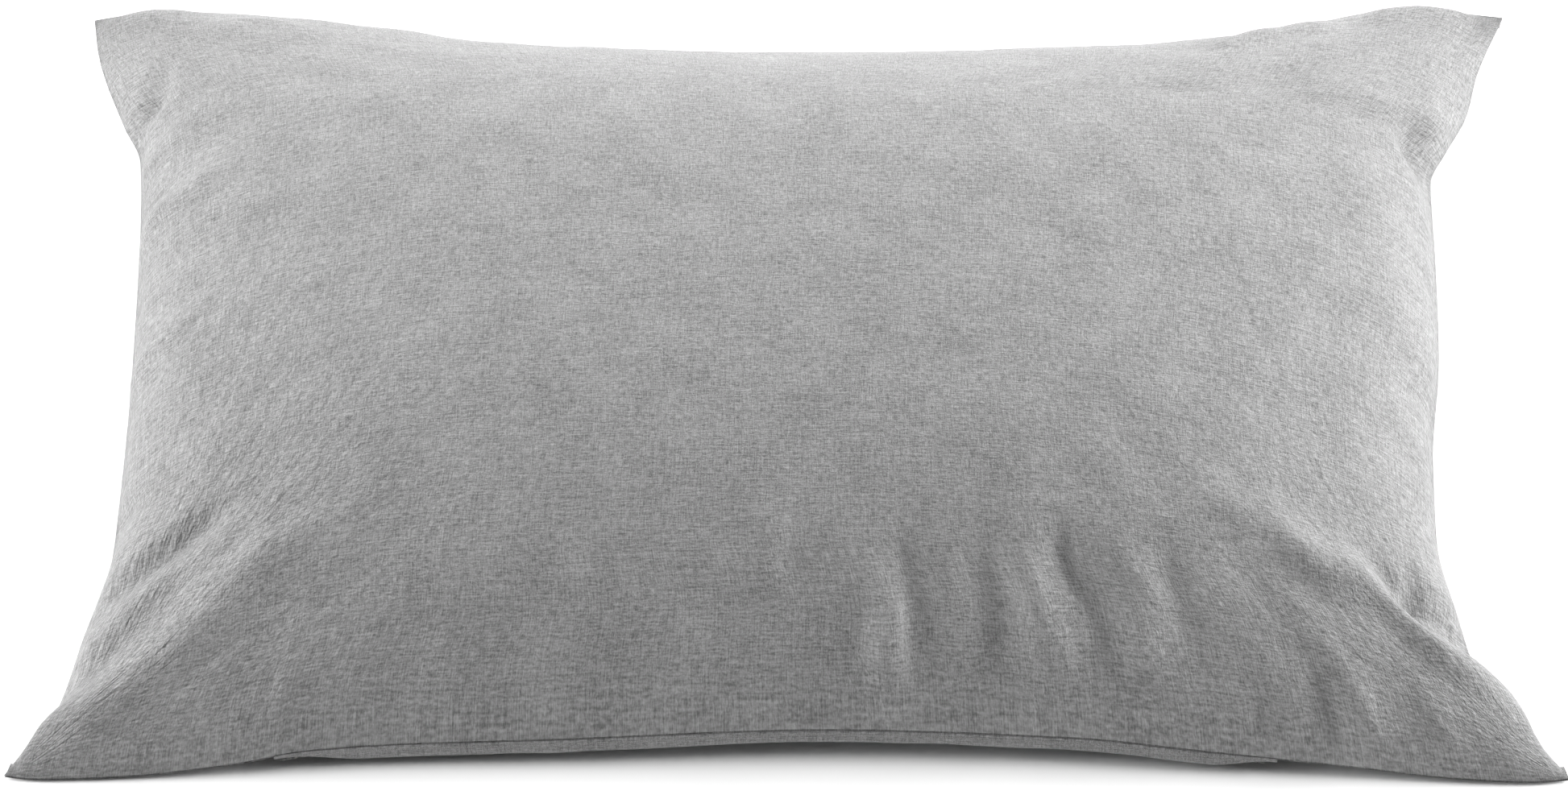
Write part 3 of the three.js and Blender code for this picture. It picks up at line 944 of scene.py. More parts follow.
    def panels(self) -> tuple[bpy.types.Object, bpy.types.Object]:
        """Make the cover and part it into its panels.

        Returns:
            The top panel and the bottom panel.
        """
        cover = self.sewn()
        self.settle(cover)
        self.sharpen(cover)
        apply_modifier(cover, "SUBSURF", levels=1, render_levels=1)
        self.crinkle(cover)
        make_active(cover)
        bpy.ops.object.mode_set(mode="EDIT")
        bpy.ops.mesh.select_all(action="SELECT")
        bpy.ops.mesh.separate(type="MATERIAL")
        bpy.ops.object.mode_set(mode="OBJECT")
        parts = sorted(bpy.context.selected_objects, key=lambda o: points_of(o)[:, 2].mean())
        bottom, top = parts[0], parts[-1]
        self.open_window(bottom)
        for part, side in ((top, Side.TOP), (bottom, Side.BOTTOM)):
            self.turn_in(part, side)
            self.mark_gathers(part)
            make_active(part)
            bpy.ops.object.shade_smooth()
        return top, bottom

    @staticmethod
    def sharpen(cover: bpy.types.Object) -> None:
        """Keep the rim a knife edge and its corners pointed when the mesh is subdivided.

        Args:
            cover: The sewn cover.
        """
        mesh = cover.data
        share = np.abs(read_cloth(cover)) / CLOTH_HALF
        ends = np.empty(len(mesh.edges) * 2, int)
        mesh.edges.foreach_get("vertices", ends)
        on_rim = share.max(axis=1) > NEARLY_ONE
        edges = on_rim[ends.reshape(-1, 2)].all(axis=1).astype(np.float32)
        mesh.attributes.new("crease_edge", "FLOAT", "EDGE").data.foreach_set("value", edges)
        corners = (share.min(axis=1) > NEARLY_ONE).astype(np.float32)
        mesh.attributes.new("crease_vert", "FLOAT", "POINT").data.foreach_set("value", corners)

    def crinkle(self, cover: bpy.types.Object) -> None:
        """Rumple the washed cloth with small uneven hollows, more where it is slack.

        Args:
            cover: The subdivided cover.
        """
        cloth = read_cloth(cover)
        reach = np.minimum(CLOTH_HALF[0] - np.abs(cloth[:, 0]), CLOTH_HALF[1] - np.abs(cloth[:, 1]))
        slack = self.slack(cloth)
        height = 0.55 * soft_noise(cloth, 26.0, 3) + 0.22 * soft_noise(cloth, 11.0, 4)
        height += slack * (1.1 * soft_noise(cloth, 19.0, 5) + 0.35 * soft_noise(cloth, 8.0, 6))
        points, normals = points_of(cover), normals_of(cover)
        free = smooth_step(0, 12, reach) * smooth_step(0.0, 6 * MM, points[:, 2])
        free[normals[:, 2] < 0] = 0.0
        set_points(cover, points + normals * (height * free * MM)[:, None])

    def open_window(self, bottom: bpy.types.Object) -> None:
        """Cut the zip's window in the bottom panel and turn its edge in.

        Args:
            bottom: The bottom panel.
        """
        up, origin = Vector(self.zip_frame.up), self.zip_frame.origin
        left, right, half = self.window
        cuts = [(origin + up * half * MM, up), (origin - up * half * MM, up)]
        cuts += [(Vector((left * MM, 0, 0)), Vector((1, 0, 0)))]
        cuts += [(Vector((right * MM, 0, 0)), Vector((1, 0, 0)))]
        margin = 9.0
        for place, normal in cuts:
            self.pick(bottom, left - margin, right + margin, half + margin)
            bpy.ops.object.mode_set(mode="EDIT")
            bpy.ops.mesh.bisect(plane_co=place, plane_no=normal)
            bpy.ops.object.mode_set(mode="OBJECT")
        self.pick(bottom, left, right, half)
        bpy.ops.object.mode_set(mode="EDIT")
        bpy.ops.mesh.delete(type="FACE")
        bpy.ops.object.mode_set(mode="OBJECT")

    def pick(self, bottom: bpy.types.Object, left: float, right: float, half: float) -> None:
        """Select the faces whose middles lie in a window of the zip's frame.

        Args:
            bottom: The bottom panel.
            left: The window's left end, in millimetres.
            right: Its right end.
            half: Half its height.
        """
        make_active(bottom)
        bpy.ops.object.mode_set(mode="EDIT")
        bpy.ops.mesh.select_mode(type="FACE")
        bpy.ops.mesh.select_all(action="DESELECT")
        bpy.ops.object.mode_set(mode="OBJECT")
        faces = bottom.data.polygons
        middles = np.empty(len(faces) * 3)
        faces.foreach_get("center", middles)
        local_x, local_y, local_z = self.zip_frame.read(middles.reshape(-1, 3))
        depth = 4.0
        inside = (local_x > left) & (local_x < right)
        inside &= (np.abs(local_y) < half) & (np.abs(local_z) < depth)
        faces.foreach_set("select", inside)

    def turn_in(self, part: bpy.types.Object, side: Side) -> None:
        """Turn the seam allowance in and up along the rim, which leaves a fine groove at the seam.

        Args:
            part: A panel.
            side: Which panel it is.
        """
        rise, settled, turned_up = 0.55, 0.1, 2.2
        rim = (np.abs(read_cloth(part)) / CLOTH_HALF).max(axis=1) > NEARLY_ONE
        points = points_of(part)
        points[rim, 2] += side.value * rise * MM
        set_points(part, points)
        rows = ((self.groove, rise * 0.85, 0.0), (self.allowance, settled, turned_up))
        for inward, drop, lean in rows:
            make_active(part)
            bpy.ops.object.mode_set(mode="EDIT")
            bpy.ops.mesh.select_mode(type="VERT")
            bpy.ops.mesh.select_all(action="DESELECT")
            bpy.ops.mesh.select_mode(type="EDGE")
            bpy.ops.object.mode_set(mode="OBJECT")
            self.pick_rim(part)
            bpy.ops.object.mode_set(mode="EDIT")
            bpy.ops.mesh.extrude_edges_indiv()
            bpy.ops.mesh.select_mode(type="VERT")
            bpy.ops.object.mode_set(mode="OBJECT")
            chosen = np.empty(len(part.data.vertices), bool)
            part.data.vertices.foreach_get("select", chosen)
            cloth, points = read_cloth(part), points_of(part)
            share = cloth[chosen] / CLOTH_HALF
            way = -np.sign(share) * (np.abs(share) > NEARLY_ONE)
            way /= np.linalg.norm(way, axis=1, keepdims=True) + 1e-9
            points[chosen, :2] += way * inward * MM
            from_corner = (CLOTH_HALF - np.abs(cloth[chosen])).max(axis=1)
            upwards = lean * smooth_step(8, 45, from_corner) - side.value * drop
            points[chosen, 2] += upwards * MM
            set_points(part, points)
            cloth[chosen] -= way * inward
            write_attribute(part, CLOTH_MAP, "FLOAT2", cloth / CLOTH_HALF)

    @staticmethod
    def pick_rim(part: bpy.types.Object) -> None:
        """Select the open edges along the panel's rim.

        Args:
            part: A panel.
        """
        mesh = part.data
        ends = np.empty(len(mesh.edges) * 2, int)
        mesh.edges.foreach_get("vertices", ends)
        ends = ends.reshape(-1, 2)
        sides = np.zeros(len(mesh.edges), int)
        loops = np.empty(len(mesh.loops), int)
        mesh.loops.foreach_get("edge_index", loops)
        np.add.at(sides, loops, 1)
        cloth = np.abs(read_cloth(part)) / CLOTH_HALF
        rim = cloth.max(axis=1) > NEARLY_ONE
        mesh.edges.foreach_set("select", (sides == 1) & rim[ends].all(axis=1))

    def mark_gathers(self, part: bpy.types.Object) -> None:
        """Store where fine gathers run: their turn and reach round a corner, and their strength.

        Args:
            part: A panel.
        """
        cloth = read_cloth(part)
        gather = np.zeros((len(cloth), 3))
        lines_per_turn, line_length = 26.0, 20.0
        for corner_x, corner_y, reach, strength in self.gather_corners:
            away = cloth - (corner_x, corner_y)
            radius = np.linalg.norm(away, axis=1)
            angle = np.arctan2(np.abs(away[:, 1]), np.abs(away[:, 0]))
            side = np.exp(-((radius / reach) ** 2)) * strength
            stronger = side > gather[:, 2]
            rows = np.column_stack([angle * lines_per_turn, radius / line_length, side])
            gather = np.where(stronger[:, None], rows, gather)
        write_attribute(part, "gather", "FLOAT_VECTOR", gather)

    def build(self, cloth: bpy.types.Material, thread: bpy.types.Material) -> None:
        """Make the two panels and the seam's thread.

        Args:
            cloth: The chambray.
            thread: The sewing thread.
        """
        top, bottom = self.panels()
        finish_piece(top, "cover_top", cloth, "chambray", "cover_top_panel")
        finish_piece(bottom, "cover_bottom", cloth, "chambray", "cover_bottom_panel")
        rim = self.form.whole_rim(240)
        inward = rim.mean(axis=0) - rim
        inward[:, 2] = 0
        inward /= np.linalg.norm(inward, axis=1, keepdims=True)
        from_edge = 1.1
        seam = StitchRow(stitch=1.9, pitch=2.4, thread=0.28).along(rim + inward * from_edge * MM)
        finish_piece(seam, "cover_seam_stitches", thread, "grey_thread", "cover_seam_thread")


# ---- placket ------------------------------------------------------------------------------
@dataclass
class Placket:
    """The folded strip that hangs from the front seam and hides the zip."""

    form: FilledForm
    left: float = -238.0
    right: float = 228.0
    drop: float = 8.6
    half_gap: float = 0.7
    cells: tuple[int, int] = (180, 16)

    def seam_points(self, x: np.ndarray) -> np.ndarray:
        """Find the seam above the strip.

        Args:
            x: Places along X, in millimetres.

        Returns:
            Rows of X, Y, Z in millimetres.
        """
        path = self.form.front_rim(500) / MM
        return np.column_stack([np.interp(x, path[:, 0], path[:, axis]) for axis in range(3)])

    def sway(self, x: np.ndarray) -> np.ndarray:
        """Say how far the lip swings forward, in millimetres."""
        flat = np.column_stack([x, np.zeros(len(x))])
        return 0.7 + 0.7 * soft_noise(flat, 70.0, 11) + 0.3 * soft_noise(flat, 18.0, 12)

    def section(self, across: np.ndarray, x: np.ndarray, drop: np.ndarray) -> np.ndarray:
        """Place the folded strip.

        Args:
            across: From 0 at the seam, down the front, round the fold at 0.5, to 1 at the back.
            x: Places along X, in millimetres.
            drop: How far the lip hangs there, in millimetres.

        Returns:
            Rows of X, Y, Z in millimetres.
        """
        seam = self.seam_points(x)
        down = 1 - np.abs(across * 2 - 1)
        curl = 1 - smooth_step(0, 0.14, down)
        round_fold = np.sin(np.clip((across - 0.5) / 0.12, -1, 1) * math.pi / 2)
        y = seam[:, 1] - 0.5 + 1.6 * curl - self.sway(x) * down + self.half_gap * (round_fold + 1)
        z = seam[:, 2] - 0.3 - drop * down
        return np.column_stack([x, y, np.maximum(z, 0.8)])

    def build(self, cloth: bpy.types.Material, thread: bpy.types.Material) -> None:
        """Make the strip and its topstitch.

        Args:
            cloth: The chambray.
            thread: The sewing thread.
        """
        strip = flat_grid(self.cells)
        flat = points_of(strip)
        share = (flat[:, 0] + 1) / 2
        x = self.left + (self.right - self.left) * share
        ends = smooth_step(0, 0.09, share) * smooth_step(0, 0.07, 1 - share)
        seam = self.seam_points(x)
        least, clearance = 0.12, 1.5
        drop = np.minimum(self.drop * (least + (1 - least) * ends), seam[:, 2] - clearance)
        across = (flat[:, 1] + 1) / 2
        set_points(strip, self.section(across, x, drop) * MM)
        cut = np.column_stack([x, -CLOTH_HALF[1] - across * self.drop * 2]) / CLOTH_HALF
        write_attribute(strip, CLOTH_MAP, "FLOAT2", cut)
        make_active(strip)
        bpy.ops.object.shade_smooth()
        finish_piece(strip, "placket_strip", cloth, "chambray", "zip_placket")
        count, below_seam = 300, 0.14
        run = np.linspace(self.left + 3, self.right - 3, count)
        on = self.section(np.full(count, below_seam), run, np.full(count, self.drop)) * MM
        on[:, 1] -= 0.2 * MM
        row = StitchRow(stitch=2.4, pitch=3.0, thread=0.26).along(on)
        finish_piece(row, "placket_topstitches", thread, "grey_thread", "placket_topstitch")


# ---- zip ----------------------------------------------------------------------------------
@dataclass
class Zip:
    """The closed coil zip under the placket, with its tapes, stops, slider and pull."""

    place: ZipFrame
    left: float = -229.0
    right: float = 219.0
    pitch: float = 1.25
    wire: float = 0.24
    samples: int = 10

    def coil(self, sign: float, phase: float) -> bpy.types.Object:
        """Wind one side of the chain.

        Args:
            sign: 1 for the upper side, -1 for the lower.
            phase: The share of a turn that it starts at.

        Returns:
            The coil.
        """
        turns = (self.right - self.left) / self.pitch
        t = np.arange(0, turns, 1 / self.samples)
        turn = 2 * math.pi * (t + phase)
        reach, middle, height, sink = 1.2, 0.98, 0.72, 0.1
        local = np.column_stack([
            self.left + t * self.pitch, sign * (middle - reach * np.cos(turn)),
            height * np.sin(turn) - sink,
        ])
        return corded(self.place.place(local), self.wire * MM, sides=0)

    def bartack(self, x: float) -> bpy.types.Object:
        """Sew a close zigzag across one end of the window.

        Args:
            x: Its place along the zip, in millimetres.

        Returns:
            The thread.
        """
        passes, half, spread, proud = 26, 5.2, 0.8, 0.75
        t = np.arange(passes)
        local = np.column_stack([
            x + spread * np.where(t % 2, 1, -1), -half + 2 * half * t / (passes - 1),
            np.full(passes, proud),
        ])
        return corded(self.place.place(local), 0.24 * MM, sides=0)

    def row(self, node: str) -> bpy.types.Object:
        """Sew the row of stitches that holds one tape, where the CAD's thread runs."""
        return StitchRow(stitch=2.3, pitch=2.8, thread=0.3).along(straight_along(node, 40))

    def build(self, finishes: "Finishes") -> None:
        """Make every piece of the zip.

        Args:
            finishes: The pillow's materials.
        """
        thread, tape, metal = finishes.thread, finishes.tape, finishes.nickel
        for name, sign, phase in (("upper", 1.0, 0.0), ("lower", -1.0, 0.5)):
            coil = self.coil(sign, phase)
            finish_piece(coil, f"zip_teeth_{name}", finishes.nylon, "zip_coil", f"zip_coil_{name}")
            strip = softened_copy(f"zip_tape_{name}", 0.2)
            finish_piece(strip, f"zip_ribbon_{name}", tape, "zip_tape", f"zip_tape_{name}")
            row = self.row(f"zip_stitch_{name}")
            finish_piece(row, f"zip_stitches_{name}", thread, "grey_thread", f"zip_stitch_{name}")
            stop = softened_copy(f"zip_top_stop_{name}", 0.25)
            finish_piece(stop, f"zip_end_clip_{name}", metal, "zip_metal", f"zip_top_stop_{name}")
        clip = softened_copy("zip_bottom_stop", 0.3)
        finish_piece(clip, "zip_box_clip", metal, "zip_metal", "zip_bottom_stop")
        for side, x in (("left", -234.7), ("right", 225.3)):
            tack = self.bartack(x)
            finish_piece(tack, f"bartack_{side}", thread, "grey_thread", f"zip_bartack_{side}")
        slider = softened_copy("zip_slider", 0.22)
        finish_piece(slider, "slider_body", metal, "zip_metal", "zip_slider", body="slider")
        pull = softened_copy("zip_pull", 0.22)
        finish_piece(pull, "slider_pull", metal, "zip_metal", "zip_pull", body="pull")


# ---- care ribbon --------------------------------------------------------------------------
@dataclass(frozen=True)
class CareRibbon:
    """The blank satin ribbon sewn inside the cover by the zip's left end."""

    edge: float = 0.15

    def build(self, satin: bpy.types.Material) -> None:
        """Make the ribbon in its satin."""
        ribbon = softened_copy("cover_care_label", self.edge)
        finish_piece(ribbon, "care_ribbon", satin, "satin_label", "cover_care_label")


# ---- insert -------------------------------------------------------------------------------
@dataclass
class Insert:
    """The filled insert: a cotton ticking of two panels with a piped edge, round loose fibre."""

    ticking: FilledForm = field(default_factory=lambda: FilledForm(inset=19.0, lift=4.5, tuck=5.0))
    fibre: FilledForm = field(default_factory=lambda: FilledForm(inset=27.0, lift=7.0, tuck=5.0))
    cells: tuple[int, int] = (96, 64)
    piping: float = 1.3
    fibre_floor: float = 6.0
    # From the CAD's label to the back seam of the softer ticking here.
    label_shift: tuple[float, float, float] = (0.0, -6.0, -6.3)

    def panel(self, form: FilledForm, side: Side) -> bpy.types.Object:
        """Shape one panel of an inner form.

        Args:
            form: The inner form.
            side: Which panel.

        Returns:
            The panel, facing out.
        """
        panel = flat_grid(self.cells, turned=side is Side.BOTTOM)
        flat = points_of(panel)[:, :2]
        set_points(panel, form.surface(side, flat[:, 0], flat[:, 1]))
        write_attribute(panel, CLOTH_MAP, "FLOAT2", flat)
        make_active(panel)
        bpy.ops.object.shade_smooth()
        return panel

    def closing(self) -> np.ndarray:
        """Follow the gap in the ticking's back seam that is sewn up by hand.

        Returns:
            Rows of X, Y, Z in metres.
        """
        path = straight_along("insert_closing_stitch", 20)
        u = path[:, 0] / MM / (self.ticking.corner_x - self.ticking.inset)
        beside_piping = np.array([0.0, -1.0, 1.6]) * MM
        return self.ticking.on_seam(u, np.ones(len(u))) + beside_piping

    def build(self, finishes: "Finishes") -> None:
        """Make the ticking, its piping, closing stitches and label, and the fibre.

        Args:
            finishes: The pillow's materials.
        """
        for side, name in ((Side.TOP, "upper"), (Side.BOTTOM, "lower")):
            node = f"insert_ticking_{side.name.lower()}"
            panel = self.panel(self.ticking, side)
            finish_piece(panel, f"insert_ticking_{name}", finishes.ticking, "ticking", node)
        cord = corded(self.ticking.whole_rim(160), self.piping * MM, closed=True)
        finish_piece(cord, "insert_piping", finishes.ticking, "ticking", "insert_edge_piping")
        row = StitchRow(stitch=4.0, pitch=5.0, thread=0.35).along(self.closing())
        finish_piece(row, "insert_hand_stitches", finishes.white_thread, "white_thread",
                     "insert_closing_stitch")
        label = softened_copy("insert_label", 0.15)
        set_points(label, points_of(label) + np.array(self.label_shift) * MM)
        finish_piece(label, "insert_size_label", finishes.satin, "satin_label", "insert_label")
        self.fill(finishes.fibre)

    def fill(self, fibre: bpy.types.Material) -> None:
        """Make the lump of loose fibre inside the ticking.

        Args:
            fibre: The fibre's finish.
        """
        top, bottom = self.panel(self.fibre, Side.TOP), self.panel(self.fibre, Side.BOTTOM)
        sew_together(top, bottom)
        cloth = read_cloth(top)
        lumps = 1.6 * soft_noise(cloth, 34.0, 21) + 0.7 * soft_noise(cloth, 13.0, 22) - 1.5
        set_points(top, points_of(top) + normals_of(top) * (lumps * MM)[:, None])
        points = points_of(top)
        points[:, 2] = np.maximum(points[:, 2], self.fibre_floor * MM)
        set_points(top, points)
        finish_piece(top, "insert_fibre", fibre, "fibre", "insert_filling")


# ---- finishes -----------------------------------------------------------------------------
def new_material(
    name: str, hex_colour: str, **sockets: object
) -> tuple[bpy.types.Material, bpy.types.NodeTree, bpy.types.Node]:
    """Start a material.

    Args:
        name: What the finish is called.
        hex_colour: Its plain colour.
        sockets: Other values of the main shader, by the socket's name with underscores.

    Returns:
        The material, its node tree and its main shader.
    """
    material = bpy.data.materials.new(name)
    material.use_nodes = True
    tree = material.node_tree
    shader = tree.nodes["Principled BSDF"]
    shader.inputs["Base Color"].default_value = linear(hex_colour)
    for key, value in sockets.items():
        shader.inputs[key.replace("_", " ")].default_value = value
    return material, tree, shader


@dataclass(frozen=True)
class Chambray:
    """Washed cotton chambray, plain weave of grey and white yarn: matt, soft, a little furry.

    Each yarn is grey and white fibre spun together, so single threads show as short darker and
    lighter dashes both ways, with thick slubs here and there. Washing has crinkled it.
    """

    light: str = "#9f9f9f"
    mid: str = "#828282"
    dark: str = "#606060"
    # Real yarns stand 0.45 mm apart, too fine to show, so they are drawn half as coarse again.
    yarn_mm: float = 0.66
    dash_mm: float = 4.6
    slub_mm: float = 24.0

    def build(self) -> bpy.types.Material:
        """Make the material, which reads the cut cloth's own map.

        Returns:
            The material.
        """
        material, tree, shader = new_material(
            "washed_cotton_chambray", self.mid, Roughness=0.92, Sheen_Weight=0.18, Sheen_Roughness=0.5
        )
        shader.inputs["Specular IOR Level"].default_value = 0.2
        cut = add_node(tree, "ShaderNodeAttribute", {"attribute_name": CLOTH_MAP})
        mm = add_node(tree, "ShaderNodeVectorMath", {"operation": "MULTIPLY"},
                      {0: cut.outputs["Vector"], 1: (*CLOTH_HALF, 1.0)})
        yarn, dash, slub = self.yarn_mm, self.dash_mm, self.slub_mm
        layers = (
            (yarn * 1.1, yarn * 1.1, 0.8), (yarn, dash, 0.75), (dash, yarn, 0.9),
            (yarn * 1.6, slub, 0.35), (slub * 1.3, yarn * 1.6, 0.45), (34.0, 34.0, 0.25),
        )
        total = None
        for across, along, weight in layers:
            scaled = add_node(tree, "ShaderNodeVectorMath", {"operation": "DIVIDE"},
                              {0: mm.outputs["Vector"], 1: (across, along, 1.0)})
            noise = add_node(tree, "ShaderNodeTexNoise", {"noise_dimensions": "2D"},
                             {"Vector": scaled.outputs["Vector"], "Scale": 1.0, "Detail": 2.0})
            total = add_node(tree, "ShaderNodeMath", {"operation": "MULTIPLY_ADD"},
                             {0: noise.outputs["Fac"], 1: weight, 2: total or 0.0}).outputs[0]
        middle, half = sum(weight for _, _, weight in layers) / 2, 0.41
        spread = add_node(tree, "ShaderNodeMapRange", None,
                          {"Value": total, "From Min": middle - half, "From Max": middle + half})
        ramp = add_node(tree, "ShaderNodeValToRGB")
        ramp.color_ramp.elements[0].color = linear(self.dark)
        ramp.color_ramp.elements[1].color = linear(self.light)
        tree.links.new(spread.outputs[0], ramp.inputs["Fac"])
        tree.links.new(ramp.outputs["Color"], shader.inputs["Base Color"])
        self.relief(tree, shader, mm, total)
        return material

    def relief(self, tree: bpy.types.NodeTree, shader: bpy.types.Node, mm: bpy.types.Node,
               threads: bpy.types.NodeSocket) -> None:
        """Raise the threads, the washed crinkle and the fine gathers as bumps.

        Args:
            tree: The node tree.
            shader: The main shader.
            mm: The node that gives places on the cut cloth.
            threads: The thread pattern's value.
        """
        crinkle = add_node(tree, "ShaderNodeTexNoise", {"noise_dimensions": "2D"},
                           {"Vector": mm.outputs["Vector"], "Scale": 0.16, "Detail": 5.0,
                            "Roughness": 0.62, "Distortion": 0.6})
        gather = add_node(tree, "ShaderNodeAttribute", {"attribute_name": "gather"})
        parts = add_node(tree, "ShaderNodeSeparateXYZ", None, {0: gather.outputs["Vector"]})
        lines = add_node(tree, "ShaderNodeTexNoise", {"noise_dimensions": "2D"},
                         {"Vector": gather.outputs["Vector"], "Scale": 1.0, "Detail": 3.0,
                          "Roughness": 0.55})
        drawn = add_node(tree, "ShaderNodeMath", {"operation": "MULTIPLY"},
                         {0: lines.outputs["Fac"], 1: parts.outputs["Z"]})
        first = add_node(tree, "ShaderNodeBump", None,
                         {"Strength": 0.55, "Distance": 1.6 * MM, "Height": crinkle.outputs["Fac"]})
        second = add_node(tree, "ShaderNodeBump", None,
                          {"Strength": 0.7, "Distance": 2.2 * MM, "Height": drawn.outputs[0],
                           "Normal": first.outputs["Normal"]})
        third = add_node(tree, "ShaderNodeBump", None,
                         {"Strength": 0.6, "Distance": 0.22 * MM, "Height": threads,
                          "Normal": second.outputs["Normal"]})
        tree.links.new(third.outputs["Normal"], shader.inputs["Normal"])


@dataclass(frozen=True)
class Woven:
    """A fine woven finish: ticking, satin ribbon or zip tape, with ribs one way."""

    name: str
    colour: str
    shade: str
    rib_mm: float
    roughness: float = 0.8
    sheen: float = 0.2

    def build(self) -> bpy.types.Material:
        """Make the material from ribs and faint cloudiness on object coordinates.

        Returns:
            The material.
        """
        material, tree, shader = new_material(
            self.name, self.colour, Roughness=self.roughness, Sheen_Weight=self.sheen
        )
        place = add_node(tree, "ShaderNodeTexCoord")
        ribs = add_node(tree, "ShaderNodeTexWave", {"bands_direction": "DIAGONAL"},
                        {"Vector": place.outputs["Object"], "Scale": BAND_SCALE / (self.rib_mm * MM),
                         "Distortion": 0.6, "Detail": 1.0})
        cloud = add_node(tree, "ShaderNodeTexNoise", None,
                         {"Vector": place.outputs["Object"], "Scale": 60.0, "Detail": 3.0})
        mixed = add_node(tree, "ShaderNodeMath", {"operation": "MULTIPLY"},
                         {0: ribs.outputs["Fac"], 1: cloud.outputs["Fac"]})
        ramp = add_node(tree, "ShaderNodeValToRGB", None, {"Fac": mixed.outputs[0]})
        ramp.color_ramp.elements[0].color = linear(self.shade)
        ramp.color_ramp.elements[1].color = linear(self.colour)
        ramp.color_ramp.elements[1].position = 0.6
        tree.links.new(ramp.outputs["Color"], shader.inputs["Base Color"])
        bump = add_node(tree, "ShaderNodeBump", None,
                        {"Strength": 0.4, "Distance": 0.1 * MM, "Height": ribs.outputs["Fac"]})
        tree.links.new(bump.outputs["Normal"], shader.inputs["Normal"])
        return material


@dataclass(frozen=True)
class Thread:
    """Spun sewing thread: matt, with the twist of its plies across it."""

    name: str
    colour: str
    shade: str
    twist_mm: float = 0.5

    def build(self) -> bpy.types.Material:
        """Make the material.

        Returns:
            The material.
        """
        material, tree, shader = new_material(self.name, self.colour, Roughness=0.7, Sheen_Weight=0.3)
        place = add_node(tree, "ShaderNodeTexCoord")
        twist = add_node(tree, "ShaderNodeTexWave", {"bands_direction": "DIAGONAL"},
                         {"Vector": place.outputs["Object"], "Scale": BAND_SCALE / (self.twist_mm * MM),
                          "Distortion": 1.0})
        ramp = add_node(tree, "ShaderNodeValToRGB", None, {"Fac": twist.outputs["Fac"]})
        ramp.color_ramp.elements[0].color = linear(self.shade)
        ramp.color_ramp.elements[1].color = linear(self.colour)
        tree.links.new(ramp.outputs["Color"], shader.inputs["Base Color"])
        bump = add_node(tree, "ShaderNodeBump", None,
                        {"Strength": 0.5, "Distance": 0.08 * MM, "Height": twist.outputs["Fac"]})
        tree.links.new(bump.outputs["Normal"], shader.inputs["Normal"])
        return material


@dataclass(frozen=True)
class Smooth:
    """Drawn nylon or nickel-plated zinc: smooth, with a fine unevenness in its gloss."""

    name: str
    colour: str
    metallic: float
    roughness: tuple[float, float]
    grain_mm: float

    def build(self) -> bpy.types.Material:
        """Make the material.

        Returns:
            The material.
        """
        material, tree, shader = new_material(self.name, self.colour, Metallic=self.metallic)
        place = add_node(tree, "ShaderNodeTexCoord")
        grain = add_node(tree, "ShaderNodeTexNoise", None,
                         {"Vector": place.outputs["Object"], "Scale": 1 / (self.grain_mm * MM),
                          "Detail": 3.0})
        gloss = add_node(tree, "ShaderNodeMapRange", None,
                         {"Value": grain.outputs["Fac"], "To Min": self.roughness[0],
                          "To Max": self.roughness[1]})
        tree.links.new(gloss.outputs[0], shader.inputs["Roughness"])
        bump = add_node(tree, "ShaderNodeBump", None,
                        {"Strength": 0.15, "Distance": 0.03 * MM, "Height": grain.outputs["Fac"]})
        tree.links.new(bump.outputs["Normal"], shader.inputs["Normal"])
        return material


@dataclass
class Finishes:
    """Every material of the pillow."""

    chambray: bpy.types.Material = field(default_factory=lambda: Chambray().build())
    thread: bpy.types.Material = field(
        default_factory=lambda: Thread("spun_polyester_thread_grey", "#9b9b99", "#6f6f6d").build()
    )
    white_thread: bpy.types.Material = field(
        default_factory=lambda: Thread("cotton_thread_white", "#efece4", "#cfcbc0").build()
    )
    tape: bpy.types.Material = field(
        default_factory=lambda: Woven("woven_polyester_zip_tape", "#a3a3a1", "#868684", 0.8).build()
    )
    nylon: bpy.types.Material = field(
        default_factory=lambda: Smooth("drawn_nylon_coil", "#9fa1a3", 0.0, (0.28, 0.42), 0.6).build()
    )
    nickel: bpy.types.Material = field(
        default_factory=lambda: Smooth("nickel_plated_zinc", "#cfccc6", 1.0, (0.22, 0.4), 0.5).build()
    )
    satin: bpy.types.Material = field(
        default_factory=lambda: Woven("woven_satin_ribbon", "#f0efeb", "#dddbd4", 0.4, 0.4, 0.4).build()
    )
    ticking: bpy.types.Material = field(
        default_factory=lambda: Woven("downproof_cotton_ticking", "#ebe8df", "#d8d4c9", 1.2).build()
    )
    fibre: bpy.types.Material = field(
        default_factory=lambda: Woven("carded_polyester_fibre", "#f6f6f3", "#e2e2de", 3.0, 0.95).build()
    )


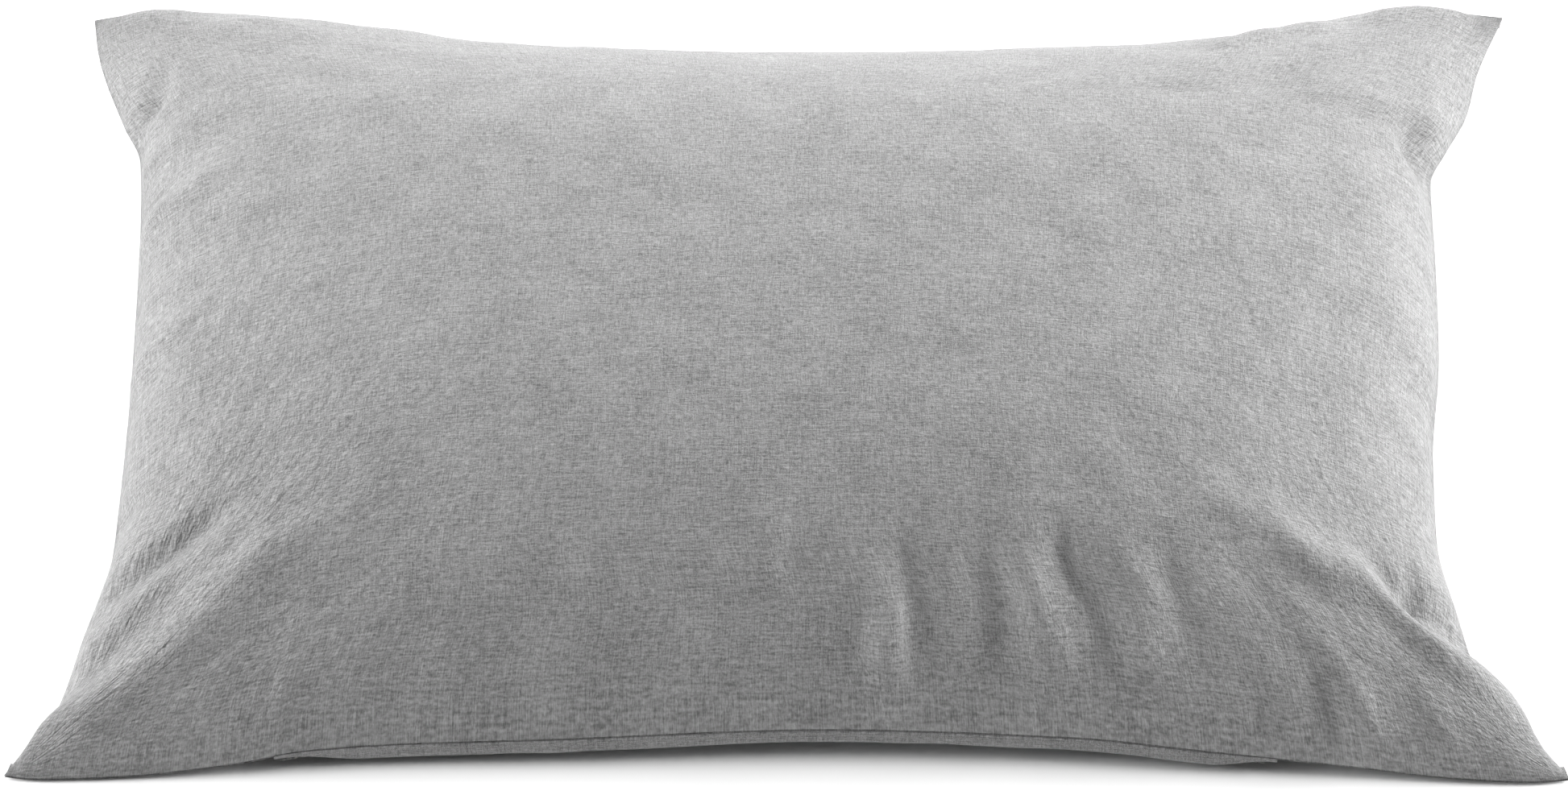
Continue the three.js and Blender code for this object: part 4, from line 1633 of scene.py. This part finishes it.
# ---- studio -------------------------------------------------------------------------------
@dataclass(frozen=True)
class Studio:
    """A white sweep, soft light from above and the sides, and a long lens."""

    lens_mm: float = 135.416
    sensor_mm: float = 36.0
    elevation: float = 47.8
    distance: float = 2.827
    aim: tuple[float, float, float] = (-0.001, -0.0515, 0.06)
    floor_size: float = 4.0
    # The sky's light rises along this direction, from dim at one share of it to full at another.
    sky_axis: tuple[float, float, float] = (0.0, 0.42, 0.91)
    sky_shares: tuple[float, float] = (0.3, 0.85)
    sky_light: tuple[float, float] = (0.02, 0.25)
    # Each soft light: its name, its place, its side in metres and its power in watts.
    lights: tuple[tuple[str, tuple[float, float, float], float, float], ...] = (
        ("back_softbox", (0.0, 2.4, 1.2), 1.6, 60.0),
        ("left_softbox", (-2.3, -0.1, 1.0), 1.4, 102.0),
        ("right_softbox", (2.3, 0.1, 1.0), 1.4, 121.0),
    )

    def camera(self) -> None:
        """Stand the camera in front of the pillow, looking down at it."""
        data = bpy.data.cameras.new("camera")
        data.sensor_width = self.sensor_mm
        data.lens = self.lens_mm
        data.clip_start = 0.1
        camera = bpy.data.objects.new("camera", data)
        bpy.context.scene.collection.objects.link(camera)
        tilt = math.radians(self.elevation)
        away = Vector((0, -math.cos(tilt), math.sin(tilt))) * self.distance
        camera.location = Vector(self.aim) + away
        camera.rotation_euler = (math.pi / 2 - tilt, 0, 0)
        bpy.context.scene.camera = camera

    def area(self, name: str, place: Vector, size: float, watts: float) -> None:
        """Hang one soft light that faces the pillow.

        Args:
            name: What the light is called.
            place: Where it hangs, in metres.
            size: The side of its square face, in metres.
            watts: Its power.
        """
        data = bpy.data.lights.new(name, "AREA")
        data.size = size
        data.energy = watts
        light = bpy.data.objects.new(name, data)
        bpy.context.scene.collection.objects.link(light)
        light.location = place
        light.rotation_euler = (-place).to_track_quat("-Z", "Y").to_euler()

    def build(self) -> None:
        """Lay the floor, light it and set the camera."""
        self.camera()
        bpy.context.scene.view_settings.view_transform = "Standard"
        deselect_all()
        bpy.ops.mesh.primitive_plane_add(size=self.floor_size)
        floor = bpy.context.object
        floor.name = "floor"
        material, _, _ = new_material("white_paper_sweep", "#ffffff", Roughness=0.9)
        floor.data.materials.append(material)
        self.sky()
        for name, place, size, watts in self.lights:
            self.area(name, Vector(place), size, watts)

    def sky(self) -> None:
        """Light the scene dimly from the back and above, before a backdrop that is seen as white."""
        world = bpy.data.worlds.new("studio")
        world.use_nodes = True
        tree = world.node_tree
        background = tree.nodes["Background"]
        background.inputs["Color"].default_value = linear("#ffffff")
        place = add_node(tree, "ShaderNodeTexCoord")
        height = add_node(tree, "ShaderNodeVectorMath", {"operation": "DOT_PRODUCT"},
                          {0: place.outputs["Generated"], 1: self.sky_axis})
        glow = add_node(tree, "ShaderNodeMapRange", {"interpolation_type": "SMOOTHSTEP"},
                        {"Value": height.outputs["Value"],
                         "From Min": self.sky_shares[0], "From Max": self.sky_shares[1],
                         "To Min": self.sky_light[0], "To Max": self.sky_light[1]})
        ray = add_node(tree, "ShaderNodeLightPath")
        strength = add_node(tree, "ShaderNodeMath", {"operation": "MAXIMUM"},
                            {0: glow.outputs[0], 1: ray.outputs["Is Camera Ray"]})
        tree.links.new(strength.outputs[0], background.inputs["Strength"])
        bpy.context.scene.world = world


def main() -> None:
    """Build the pillow piece by piece."""
    logging.basicConfig(level=logging.INFO)
    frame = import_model()
    finishes = Finishes()
    zip_frame = ZipFrame.from_record(frame["record"])
    cover = Cover(zip_frame, folds=TOP_FOLDS)
    Insert().build(finishes)
    cover.build(finishes.chambray, finishes.thread)
    Placket(cover.form).build(finishes.chambray, finishes.thread)
    Zip(zip_frame).build(finishes)
    CareRibbon().build(finishes.satin)
    Studio().build()


if __name__ == "__main__":
    main()
